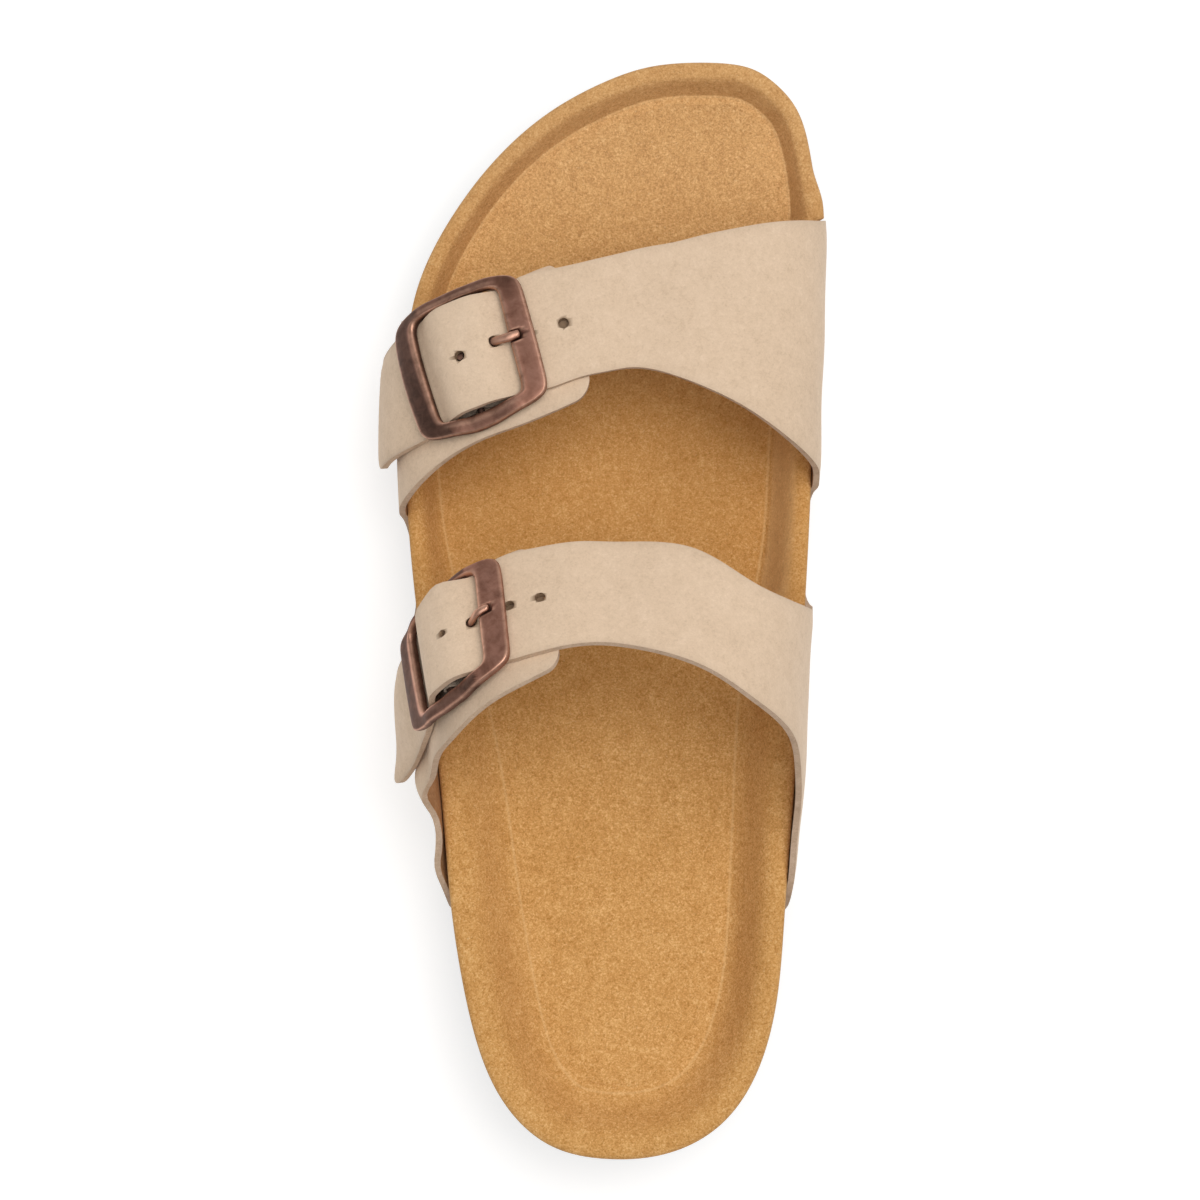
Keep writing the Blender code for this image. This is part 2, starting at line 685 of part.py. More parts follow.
def flare(deg, y, waves):
    """How far the leather leans away from the rim behind the rear strap."""
    deg, y = np.asarray(deg, float), np.asarray(y, float)
    return sum(high * np.exp(-((y - at_y) / long) ** 2 - ((deg - at_deg) / wide) ** 2)
               for high, at_y, long, at_deg, wide in waves)


def lift_of(seat):
    return lambda u: float(strap_lift(seat.bar_length - u)) if seat else 0.0


def panel(name, band, front, rear, seats, cols, gap_cols, step, corners, material):
    """One sheet: a low band that forks into two straps."""
    points, faces, grid = [], [], []
    n_front, n_rear = cols
    f0, r0 = front.cols, rear.cols
    notch = [float(f0[1](0)), float(f0[3](0)), float(r0[1](0)), float(r0[3](0))]
    turn = float(f0[0](0))
    for deg, y_front, y_rear in band:
        # the band's columns line up with those of the straps above it
        y = np.concatenate([
            np.linspace(notch[0], notch[1], n_front + 1),
            np.linspace(notch[1], notch[2], gap_cols + 1)[1:],
            np.linspace(notch[2], notch[3], n_rear + 1)[1:]])
        y = y_rear + (y - notch[3]) * (y_front - y_rear) / (notch[0] - notch[3])
        grid.append(off_last(np.full_like(y, deg), y, flare(deg, y, WING)))
    grids = []
    for strap, seat, n, corner in zip((front, rear), seats, cols, corners):
        lengths = end_rows(strap, step, corner, seat)
        grids.append(strap_grid(strap, lengths, n, corner, STRAP_HALF_WIDE, lift_of(seat), seat))
    grid_f, grid_r = grids
    y_gap = np.linspace(notch[1], notch[2], gap_cols + 1)[1:-1]
    join = np.concatenate([grid_f[0],
                           off_last(np.full_like(y_gap, turn), y_gap, np.zeros_like(y_gap)),
                           grid_r[0]])
    grid.append(join)
    width = n_front + gap_cols + n_rear + 1
    for row in grid:
        points += list(row)
    ids = [[r * width + c for c in range(width)] for r in range(len(grid))]

    def sheet(rows):
        for a, b in zip(rows[:-1], rows[1:]):
            for c in range(len(a) - 1):
                faces.append((a[c], b[c], b[c + 1], a[c + 1]))

    sheet(ids)
    for strap_rows, first in ((grid_f, ids[-1][:n_front + 1]), (grid_r, ids[-1][n_front + gap_cols:])):
        rows = [first]
        for row in strap_rows[1:]:
            rows.append(list(range(len(points), len(points) + len(row))))
            points += list(row)
        sheet(rows)
    if band[0][0] > 90:
        faces = [f[::-1] for f in faces]
    me = mesh_from(name, points, faces)
    ob = add_object(name, me, material)
    solidify(ob, STRAP_T, 1.0)
    return ob


upper_medial = panel("upper_medial", BAND_MEDIAL, long_front, long_rear,
                     (seat_front, seat_rear), (7, 7), 2, 5.6, (6.0, 6.0), NUBUCK_M)
upper_lateral = panel("upper_lateral", BAND_LATERAL, short_front, short_rear,
                      (None, None), (7, 7), 2, 6.0, (4.0, 4.0), NUBUCK_L)


# ------------------------------------------------------------------- buckles
CORNER_TURNS = (0.0, 18.0, 32.0, 40.0, 43.5, 46.5, 50.0, 58.0, 72.0)  # one quarter of the frame


def barrel(turn, bows, half_long, long_bow, front_wide, rear_wide, square):
    """Outline with bowed bars and sides and rounded corners at 45 degrees."""
    c, s = np.cos(turn), np.sin(turn)
    k = (np.abs(c) ** square + np.abs(s) ** square) ** (-1 / square)
    return np.stack([c * k * (half_long + long_bow * (1 - (s * k) ** 2)),
                     s * k * (np.where(s > 0, front_wide, rear_wide) + np.where(s > 0, *bows) * (1 - (c * k) ** 2))], -1)


def frame_mesh(name, seat):
    """Cast frame: wide end bars, barrel sides that dip to the centre bar."""
    turn = np.radians(np.concatenate([np.array(CORNER_TURNS) + 90.0 * q for q in range(4)]))
    inner = barrel(turn, seat.opening_bows, *FRAME_OPENING)
    outer = barrel(turn, seat.outside_bows, *FRAME_OUTSIDE)
    steps = len(turn)
    # across the bar: share from opening to outside, share of the thickness
    profile = ((0.08, 0.0), (0.0, 0.4), (0.05, 0.86), (0.16, 1.0), (0.5, 0.96), (0.92, 0.82), (1.0, 0.45), (0.94, 0.0))
    points = []
    for i in range(steps):
        for wide, high in profile:
            u, v = inner[i] + (outer[i] - inner[i]) * wide
            low = SIDE_LOW + (BAR_LOW - SIDE_LOW) * float(ease(2.0, FRAME_OPENING[0] - 1.5, abs(u)))
            low += seat.tip * float(ease(FRAME_OPENING[0], FRAME_OUTSIDE[0], -u))
            points.append(seat.at(u, v, low + BAR_T * high))
    k = len(profile)
    faces = [(i * k + j, i * k + (j + 1) % k, (i + 1) % steps * k + (j + 1) % k, (i + 1) % steps * k + j)
             for i in range(steps) for j in range(k)]
    me = mesh_from(name, points, faces)
    face_out(me)
    return me


def wire(name, points, radius, group, material=None):
    """Round wire through the points, with closed ends."""
    cu = bpy.data.curves.new(name, 'CURVE')
    cu.dimensions = '3D'
    cu.bevel_depth = radius * MM
    cu.bevel_resolution = 2
    cu.use_fill_caps = True
    sp = cu.splines.new('POLY')
    sp.points.add(len(points) - 1)
    for q, p in zip(sp.points, points):
        q.co = (*metres(p), 1.0)
    return add_object(name, cu, material, group)


def wire_mesh(name, points, radius, group, material=None):
    """The same wire as a closed mesh, for cutting and joining."""
    ob = wire(name + "_curve", points, radius, group)
    graph = bpy.context.evaluated_depsgraph_get()
    me = bpy.data.meshes.new_from_object(ob.evaluated_get(graph))
    bm = bmesh.new()
    bm.from_mesh(me)
    bmesh.ops.remove_doubles(bm, verts=bm.verts, dist=1e-6)
    bmesh.ops.recalc_face_normals(bm, faces=bm.faces)
    bm.to_mesh(me)
    bm.free()
    me.name = name
    me.materials.clear()
    place = ob.matrix_world.copy()
    bpy.data.objects.remove(ob, do_unlink=True)
    out = add_object(name, me, material, group)
    out.matrix_world = place
    return out


#   before, height
PRONG_FRONT = ((4.4, 2.3), (6.2, 3.5), (8.2, 4.3), (10.4, 4.6), (11.9, 4.6), (12.6, 4.45))
PRONG_REAR = ((5.0, 1.6), (7.2, 2.3), (9.0, 3.6), (10.5, 4.5), (11.9, 4.6), (12.6, 4.45))


def prong_points(seat, shank):
    """Hook under the centre bar, then the shank up through the strap."""
    turns = np.radians(np.linspace(150, 288, 8))
    path = [(PRONG_LOOP_R * math.cos(a), CENTRE_BAR_H + PRONG_LOOP_R * math.sin(a)) for a in turns]
    return [seat.at(b, seat.prong_line(b), h) for b, h in path + list(shank)]


def keeper_mesh(name, seat):
    """Strip over the centre bar, slit for the prong, feet on the short strap."""
    lap = CENTRE_BAR_R + 0.2
    turns = np.radians(np.linspace(180, 0, 7))
    path = [(-6.5, GAP), (-3.4, GAP + 0.15), (-lap - 0.35, 1.3)]
    path += [(lap * math.cos(a), CENTRE_BAR_H + lap * math.sin(a)) for a in turns]
    path += [(lap + 0.35, 1.3), (3.4, GAP + 0.15), (5.6, GAP)]
    slit = float(seat.prong_line(0.0))
    lanes = (KEEPER_HALF, KEEPER_HALF * 0.6, slit + KEEPER_SLOT, slit - KEEPER_SLOT, -KEEPER_HALF * 0.6, -KEEPER_HALF)
    points = [seat.at(b, v, h) for b, h in path for v in lanes]
    n, faces = len(lanes), []
    for i in range(len(path) - 1):
        for j in range(n - 1):
            if j == 2 and i >= 1:
                continue
            faces.append((i * n + j, (i + 1) * n + j, (i + 1) * n + j + 1, i * n + j + 1))
    me = mesh_from(name, points, [f[::-1] for f in faces])
    return me


def buckle(tag, seat, strap_ob, holes, shank, copper, prong_mat, strip_mat):
    frame = add_object("buckle_" + tag, frame_mesh("buckle_" + tag, seat), copper)
    ends = [FRAME_OPENING[2 + i] + seat.opening_bows[i] + 0.9 for i in (0, 1)]
    bar = wire_mesh("centre_bar_" + tag,
                    [seat.at(0.0, v, CENTRE_BAR_H) for v in np.linspace(-ends[1], ends[0], 7)],
                    CENTRE_BAR_R, cutters)
    cut(frame, bar, 'UNION')
    rest = wire_mesh("prong_rest_" + tag,
                     [seat.at(b, seat.prong_line(b), h + 0.05) for b, h in shank[2:] + ((13.5, 4.4),)],
                     PRONG_R + GAP, cutters)
    cut(frame, rest)
    path = prong_points(seat, shank)
    wire_mesh("prong_" + tag, path, PRONG_R, sandal, prong_mat)
    cut(strap_ob, wire_mesh("prong_way_" + tag, path[7:12], PRONG_R + GAP, cutters))
    for n, before in enumerate(holes):
        deg, y = seat.fold(seat.bar_length - before, 0.0)
        lift = float(strap_lift(before))
        ends = [off_last(deg, y, lift - 1.6), off_last(deg, y, lift + STRAP_T + 1.6)]
        cut(strap_ob, wire_mesh("hole_%s_%d" % (tag, n), ends, HOLE_R, cutters))
    keeper = add_object("keeper_" + tag, keeper_mesh("keeper_" + tag, seat), strip_mat)
    solidify(keeper, KEEPER_T, 1.0)


buckle("front", seat_front, upper_medial, HOLES_FRONT, PRONG_FRONT, COPPER_F, WIRE_F, STRIP_F)
buckle("rear", seat_rear, upper_medial, HOLES_REAR, PRONG_REAR, COPPER_R, WIRE_R, STRIP_R)
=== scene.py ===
import math

import bmesh
import bpy
import numpy as np
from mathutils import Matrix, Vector


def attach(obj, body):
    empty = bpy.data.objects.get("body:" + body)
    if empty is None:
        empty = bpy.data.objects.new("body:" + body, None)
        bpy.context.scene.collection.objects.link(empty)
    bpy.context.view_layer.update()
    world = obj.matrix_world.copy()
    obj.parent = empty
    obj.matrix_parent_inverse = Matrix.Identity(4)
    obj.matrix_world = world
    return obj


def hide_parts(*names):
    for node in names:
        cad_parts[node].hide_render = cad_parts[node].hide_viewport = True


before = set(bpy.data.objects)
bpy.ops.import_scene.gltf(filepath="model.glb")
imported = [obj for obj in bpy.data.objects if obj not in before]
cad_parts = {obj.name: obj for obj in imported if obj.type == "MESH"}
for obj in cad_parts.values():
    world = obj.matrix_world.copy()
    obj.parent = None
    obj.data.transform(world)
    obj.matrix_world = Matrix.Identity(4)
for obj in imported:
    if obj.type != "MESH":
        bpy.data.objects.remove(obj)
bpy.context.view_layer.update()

MM = 0.001

# ---------------------------------------------------------------- main sizes
LENGTH = 262.0
HEEL_X, TOE_X = 5.2, 24.3
SHIFT_X, SHIFT_Y = -0.68, 0.0
OUTSOLE_T = 9.0
TOE_SPRING, SPRING_FROM = 8.5, 0.74
GROOVE_W, GROOVE_DEEP, GROOVE_PITCH = 3.2, 2.2, 12.5
HEEL_GROOVES, BALL_GROOVES = (-112.0, 5), (22.0, 8)
STRAP_T, GAP, RIM_GAP = 1.5, 0.35, 0.35
RIM_CREST = 2.0
WALL_DEG = 20.0
#   half_long, long_bow, front_wide, rear_wide, squareness
FRAME_OUTSIDE = (15.75, 0.4, 13.9, 13.9, 12.0)
FRAME_OPENING = (10.1, 0.2, 12.9, 11.9, 13.0)
STRAP_HALF_WIDE = 13.4
BAR_LOW, BAR_T, SIDE_LOW = 2.3, 2.2, 1.2
CENTRE_BAR_R, CENTRE_BAR_H = 0.8, 2.55
PRONG_R, PRONG_LOOP_R = 0.7, 1.7
STRAP_RISE, RISE_FROM, RISE_TO = 4.35, 2.2, 10.6
HOLE_R = 1.25
KEEPER_T, KEEPER_HALF, KEEPER_SLOT = 0.6, 11.4, 1.9

# ------------------------------------------------------------------- tables
#   along, lateral, medial
OUTLINE = (
    (0.00, 97.6, 78.2), (0.08, 75.8, 69.9), (0.16, 64.3, 59.7), (0.25, 56.6, 48.4),
    (0.32, 53.6, 40.9), (0.40, 52.7, 36.4), (0.48, 57.0, 34.2), (0.56, 63.8, 34.2),
    (0.64, 72.4, 36.0), (0.70, 79.5, 39.4), (0.76, 82.6, 44.5), (0.82, 84.7, 51.1),
    (0.88, 86.2, 60.7), (0.94, 91.7, 75.1), (1.00, 120.0, 115.0),
)
#   share, bed, dish, rim_lat, rim_med, wall_lat, wall_med, tuck
FOOTBED = (
    (0.00, 24.5, 1.2, 34.5, 34.5, 15.0, 15.0, 1.0),
    (0.08, 22.4, 1.2, 34.5, 34.8, 16.0, 14.0, 1.0),
    (0.20, 21.8, 1.4, 33.8, 35.4, 16.5, 13.0, 1.5),
    (0.33, 23.2, 2.0, 32.8, 36.8, 15.0, 14.0, 2.7),
    (0.46, 24.0, 2.0, 32.2, 37.0, 12.0, 13.5, 3.3),
    (0.56, 22.4, 1.4, 30.6, 34.6, 8.5, 10.5, 3.5),
    (0.64, 19.8, 1.0, 28.0, 31.0, 7.5, 10.0, 3.3),
    (0.72, 18.0, 0.6, 26.0, 27.8, 7.0, 9.0, 2.6),
    (0.82, 18.4, 0.4, 25.0, 25.8, 6.7, 7.0, 2.2),
    (0.91, 20.4, 0.3, 26.6, 26.6, 6.7, 6.2, 1.3),
    (1.00, 23.5, 0.3, 29.5, 29.5, 7.6, 7.6, 1.0),
)
#   y, ridge_x, ridge_z, squareness
INSTEP = (
    (-80.0, 6.0, 116.0, 2.6), (-40.0, 7.0, 104.5, 2.6), (-9.0, 8.0, 87.0, 2.6),
    (15.0, 9.0, 70.5, 2.7), (35.0, 10.5, 63.0, 2.7), (57.0, 12.0, 58.0, 2.7),
    (85.0, 13.0, 51.0, 2.7), (108.0, 13.5, 46.0, 2.7),
)
#   front_deg, front_y, rear_deg, rear_y
LONG_FRONT = (
    (-11.5, 93.5, -11.5, 15.8), (-11.0, 93.5, -11.0, 21.5), (-9.0, 93.5, -9.0, 26.0),
    (-5.0, 93.4, -5.0, 28.4), (0.0, 93.2, 0.0, 29.6), (8.0, 92.8, 8.0, 32.6),
    (16.0, 92.4, 16.0, 34.6), (27.0, 92.0, 27.0, 37.5), (39.0, 91.1, 39.0, 41.9),
    (53.0, 89.4, 53.0, 47.7), (67.0, 87.8, 67.0, 52.0), (82.0, 86.0, 82.0, 55.2),
    (97.0, 84.8, 97.0, 56.6), (112.0, 82.7, 109.0, 55.3), (126.0, 80.3, 118.0, 53.7),
    (138.8, 78.0, 127.0, 51.0), (145.5, 75.3, 135.5, 47.8), (151.5, 72.4, 142.5, 44.7),
    (158.0, 69.2, 148.5, 42.4), (164.0, 66.3, 154.0, 40.1), (171.0, 63.0, 161.5, 37.4),
    (178.0, 60.3, 169.5, 35.0), (186.0, 57.5, 179.5, 32.2),
)
LONG_REAR = (
    (-11.5, 14.2, -11.5, -71.6), (-11.0, 8.6, -11.0, -71.4), (-9.0, 4.2, -9.0, -70.8),
    (-5.0, 1.9, -5.0, -68.8), (0.0, 0.9, 0.0, -64.0), (8.0, 0.2, 8.0, -54.0),
    (16.0, 0.0, 16.0, -47.0), (30.0, 0.8, 30.0, -38.0), (41.0, 2.2, 41.0, -31.0),
    (52.0, 5.2, 52.0, -25.3), (62.0, 10.2, 62.0, -20.0), (72.0, 13.9, 72.0, -13.9),
    (84.0, 15.1, 84.0, -9.7), (97.0, 15.2, 97.0, -7.9), (109.0, 14.7, 105.5, -9.2),
    (120.0, 13.2, 112.5, -11.1), (129.5, 11.0, 118.3, -13.2), (135.8, 7.5, 124.5, -17.0),
    (141.5, 3.5, 130.3, -20.2), (146.5, -0.8, 135.8, -23.3), (151.0, -4.9, 141.0, -26.3),
    (157.0, -9.0, 149.8, -30.2), (165.0, -13.0, 160.2, -35.0), (177.0, -18.0, 173.5, -42.6),
)
SHORT_FRONT = (
    (191.5, 70.6, 191.5, 10.0), (190.7, 70.5, 190.7, 14.4), (188.6, 70.2, 188.6, 18.4),
    (185.0, 69.6, 185.0, 21.2), (180.0, 69.0, 180.0, 22.8), (172.5, 68.5, 171.0, 24.6),
    (166.5, 68.7, 163.8, 27.0), (162.0, 69.4, 157.0, 30.9), (156.0, 71.5, 148.5, 36.6),
    (149.0, 74.2, 141.0, 40.4), (142.0, 77.4, 133.5, 43.0), (137.0, 79.6, 124.0, 46.4),
    (131.0, 81.4, 112.0, 50.6),
)
SHORT_REAR = (
    (191.5, 8.4, 191.5, -71.0), (190.7, 4.6, 190.7, -70.6), (188.6, 1.2, 188.6, -69.6),
    (185.0, -1.4, 185.0, -67.0), (180.0, -3.0, 180.0, -60.0), (172.5, -5.0, 171.0, -49.0),
    (166.0, -6.2, 161.0, -41.5), (160.0, -6.4, 150.0, -36.0), (153.5, -5.0, 141.0, -32.5),
    (147.0, -1.2, 132.4, -28.8), (140.5, 4.0, 123.3, -22.4), (133.0, 10.4, 116.0, -17.9),
    (123.0, 14.4, 106.3, -12.4),
)
#   wrap_deg, front_y, rear_y
BAND_MEDIAL = ((-20.0, 93.6, -73.0), (-16.0, 93.5, -72.6))
BAND_LATERAL = ((200.0, 72.5, -72.5), (196.0, 71.6, -72.0))

# Where the leather behind the rear strap stands off the rim.
#   high, at_y, long, at_deg, wide
WING = ((3.7, -40.0, 7.5, 166.5, 6.5), (1.4, -63.0, 6.5, 180.5, 4.2))
TAIL_WING = ((4.0, -43.0, 8.0, 172.0, 9.0),)

# Swelling of the medial rim just before the front strap.
#   high, starts, full from, full to, ends
TOE_SWELL = (1.5, 93.0, 94.0, 96.5, 106.5)
#   bar_row, skew, centre, scale, waist_front, waist_rear, lean, bulge, tip, bow,
#   side bows: outside front, rear, opening front, rear
SEAT_FRONT = (17.08, -0.08, -0.7, 1.0, 0.92, 0.915, 0.9, 0.0, 0.0, 0.0, 3.0, 2.0, 1.3, 0.2)
SEAT_REAR = (18.10, -0.05, -0.9, 0.97, 0.865, 0.89, 0.0, 0.10, 1.0, 2.0, 1.5, 1.7, 0.7, 0.0)
HOLES_FRONT = (-0.85, 14.65, 22.85)
HOLES_REAR = (2.55, 16.55, 23.55)
#   before, lift
TAIL_LIFT = ((-18.0, 1.95), (-24.0, 2.6), (-30.0, 3.6), (-44.0, 4.9))
OVER_LIFT = ((27.0, 1.95), (31.0, 1.65), (36.0, 0.7), (41.0, 0.1), (44.0, 0.0))


# ------------------------------------------------------------ interpolation
def curve_through(xs, ys):
    xs, ys = np.array(xs, float), np.array(ys, float)
    n, h = len(xs), np.diff(xs)
    a, b = np.zeros((n, n)), np.zeros(n)
    a[0, 0] = a[-1, -1] = 1.0
    for i in range(1, n - 1):
        a[i, i - 1:i + 2] = h[i - 1], 2 * (h[i - 1] + h[i]), h[i]
        b[i] = 6 * ((ys[i + 1] - ys[i]) / h[i] - (ys[i] - ys[i - 1]) / h[i - 1])
    m = np.linalg.solve(a, b)

    def at(x):
        x = np.clip(np.asarray(x, float), xs[0], xs[-1])
        i = np.clip(np.searchsorted(xs, x) - 1, 0, n - 2)
        d, e, w = x - xs[i], xs[i + 1] - x, h[i]
        return (m[i] * e ** 3 + m[i + 1] * d ** 3) / (6 * w) \
            + (ys[i] / w - m[i] * w / 6) * e + (ys[i + 1] / w - m[i + 1] * w / 6) * d
    return at


def columns(table):
    t = np.array(table)
    return [curve_through(t[:, 0], t[:, c]) for c in range(1, t.shape[1])]


def ease(a, b, x):
    w = np.clip((np.asarray(x, float) - a) / (b - a), 0.0, 1.0)
    return w * w * (3 - 2 * w)


lat_of, med_of = columns(OUTLINE)
bed_of, dish_of, rim_lat_of, rim_med_of, wall_lat_of, wall_med_of, tuck_of = columns(FOOTBED)
ridge_x_of, ridge_z_of, square_of = columns(INSTEP)


def soft_waves(x, y, seed, size):
    """Smooth uneven field, about -1 to 1, with waves of the given size."""
    rng = np.random.RandomState(seed)
    total = np.zeros(np.broadcast(x, y).shape)
    for _ in range(9):
        a, k = rng.uniform(0, 2 * math.pi), 2 * math.pi / (size * rng.uniform(0.6, 1.7))
        total = total + np.sin((np.cos(a) * x + np.sin(a) * y) * k + rng.uniform(0, 6.28))
    return total / 4.0


# ------------------------------------------------------------------ the last
def share(y):
    return (np.asarray(y, float) + LENGTH / 2) / LENGTH


def edge_x(y, side):
    y = np.asarray(y, float)
    t = np.arccos(np.clip(-2 * y / LENGTH, -1, 1)) / math.pi
    axis = HEEL_X + (TOE_X - HEEL_X) * share(y)
    return axis + np.sin(math.pi * t) * (med_of(t) if side > 0 else -lat_of(t))


def toe_swell(y, side):
    """How far the rim swells outwards just before the front strap."""
    high, a, b, c, d = TOE_SWELL
    return np.where(side > 0, high * ease(a, b, y) * (1 - ease(c, d, y)), 0.0)


def floor_z(y):
    s = share(y)
    return TOE_SPRING * np.clip((s - SPRING_FROM) / (1 - SPRING_FROM), 0, None) ** 1.8


def deck_z(y):
    return floor_z(y) + OUTSOLE_T


def last_at(deg, y):
    deg, y = np.broadcast_arrays(np.asarray(deg, float), np.asarray(y, float))
    s = share(y)
    xm, xl = edge_x(y, 1) + RIM_GAP, edge_x(y, -1) - RIM_GAP
    zm, zl = rim_med_of(s), rim_lat_of(s)
    ridge = ridge_x_of(y)
    arc = np.radians(np.clip(deg, 0.0, 180.0))
    c, k = np.cos(arc), np.sin(arc)
    reach = np.where(c >= 0, xm - ridge, ridge - xl)
    base = zm + (zl - zm) * ease(0, 180, deg)
    n = square_of(y)
    r = ((np.abs(c) / reach) ** n + (k / (ridge_z_of(y) - base)) ** n) ** (-1 / n)
    x, z = ridge + r * c, base + r * k
    down = np.clip(np.where(deg < 0, -deg, deg - 180.0), 0, None) / WALL_DEG
    side = np.where(deg < 90, 1.0, -1.0)
    x = x - side * down * (tuck_of(s) + RIM_GAP - GAP)
    z = z + down * (deck_z(y) + GAP - z)
    return np.stack([x, y, z], -1)


def last_normal(deg, y, step=0.1):
    d = last_at(np.asarray(deg) + step, y) - last_at(np.asarray(deg) - step, y)
    e = last_at(deg, np.asarray(y) + step) - last_at(deg, np.asarray(y) - step)
    n = np.cross(e, d)
    return n / np.linalg.norm(n, axis=-1, keepdims=True)


def off_last(deg, y, lift):
    lift = np.asarray(lift, float)[..., None]
    return last_at(deg, y) + lift * last_normal(deg, y)


class Strap:
    """A strap given by its folds; across runs from +1 (front) to -1 (rear)."""

    def __init__(self, rows):
        t = np.array(rows)
        self.last_row = len(t) - 1
        index = np.arange(len(t))
        self.cols = [curve_through(index, t[:, c]) for c in range(4)]
        fine = np.linspace(0, self.last_row, 40 * self.last_row + 1)
        mid = last_at(*self.place(fine, 0.0))
        run = np.concatenate([[0], np.cumsum(np.linalg.norm(np.diff(mid, axis=0), axis=1))])
        self.fine, self.run = fine, run

    def place(self, row, across):
        fd, fy, rd, ry = (c(row) for c in self.cols)
        w = (np.asarray(across, float) + 1) / 2
        return rd + (fd - rd) * w, ry + (fy - ry) * w

    def length_at(self, row):
        return np.interp(row, self.fine, self.run)

    def row_at(self, length):
        return np.interp(length, self.run, self.fine)


long_front, long_rear = Strap(LONG_FRONT), Strap(LONG_REAR)
short_front, short_rear = Strap(SHORT_FRONT), Strap(SHORT_REAR)
tail_of = curve_through(*np.array(TAIL_LIFT)[::-1].T)
over_of = curve_through(*np.array(OVER_LIFT).T)


def strap_lift(before):
    """Height of a long strap above the last, before (+) or past (-) the bar."""
    before = np.asarray(before, float)
    hump = (STRAP_RISE - GAP) * (1 - ease(RISE_FROM, RISE_TO, np.abs(before)))
    over = np.maximum(over_of(before), 0.0)
    return np.where(before > 0, over, tail_of(before)) + hump


class BuckleSeat:
    """Places pieces by distance before the bar, across the frame and height
    above the short strap."""

    def __init__(self, strap, bar_row, skew, centre, scale, waist_front, waist_rear, lean, bulge, tip, bow, *side_bows):
        self.strap, self.skew, self.centre, self.scale = strap, skew, centre, scale
        self.waist_front, self.waist_rear, self.lean = waist_front, waist_rear, lean
        self.bulge, self.tip, self.bow = bulge, tip, bow
        self.outside_bows, self.opening_bows = side_bows[:2], side_bows[2:]
        self.bar_length = float(strap.length_at(bar_row))

    def at(self, before, across, height):
        before, across, height = np.broadcast_arrays(
            np.asarray(before, float), np.asarray(across, float), np.asarray(height, float))
        row = self.strap.row_at(self.bar_length - before - self.skew * across)
        deg, y = self.strap.place(row, (across * self.scale + self.centre) / STRAP_HALF_WIDE)
        return off_last(deg, y, height + STRAP_T)

    def prong_line(self, before):
        """Across the frame: the middle of the strap, where the prong lies."""
        return (self.lean * (1 - ease(5.0, 11.0, before)) - self.centre) / self.scale

    def by_prong(self, before, across, height):
        return self.at(before, across + self.prong_line(before), height)

    def fold(self, length, across):
        """Place on the last of a point of the strap, drawn in by the frame."""
        before, across = self.bar_length - length, np.asarray(across, float)
        bulge = self.bulge * np.exp(-((before - 1.7) / 2.9) ** 2)
        before = np.abs(before)
        waist = np.where(across > 0, self.waist_front + bulge, self.waist_rear)
        across = across * (1 - (1 - waist) * (1 - ease(9.8, 17.0, before)))
        slant = self.skew * STRAP_HALF_WIDE * (1 - ease(14.0, 24.0, before))
        return self.strap.place(self.strap.row_at(length - slant * across), across)

    def tail_bow(self, length, across):
        """How far the strap's tail stands off, most along its middle."""
        w = (1 + across) / 2
        return self.bow * ease(15.0, 28.0, length - self.bar_length) * w * (3.55 - 3.1 * w)


seat_front = BuckleSeat(long_front, *SEAT_FRONT)
seat_rear = BuckleSeat(long_rear, *SEAT_REAR)


# -------------------------------------------------------------- mesh helpers
def mesh_from(name, points, faces, masks=None, smooth_deg=40):
    p = np.asarray(points, float)
    p = (p + np.array([SHIFT_X, SHIFT_Y, 0.0])) * MM
    me = bpy.data.meshes.new(name)
    me.from_pydata(p.tolist(), [], faces)
    me.validate()
    if masks is not None:
        layer = me.attributes.new("mask", 'FLOAT_COLOR', 'POINT')
        m = np.zeros((len(p), 4))
        m[:, :masks.shape[1]] = masks
        m[:, 3] = 1.0
        layer.data.foreach_set("color", m.ravel())
    me.shade_smooth()
    me.set_sharp_from_angle(angle=math.radians(smooth_deg))
    return me


def face_out(me):
    bm = bmesh.new()
    bm.from_mesh(me)
    bmesh.ops.recalc_face_normals(bm, faces=bm.faces)
    bm.to_mesh(me)
    bm.free()


def piece(name, me, materials, node=None):
    ob = bpy.data.objects.new(name, me)
    bpy.context.scene.collection.objects.link(ob)
    for m in materials:
        me.materials.append(m)
    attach(ob, "root")
    if node:
        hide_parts(node)
    return ob


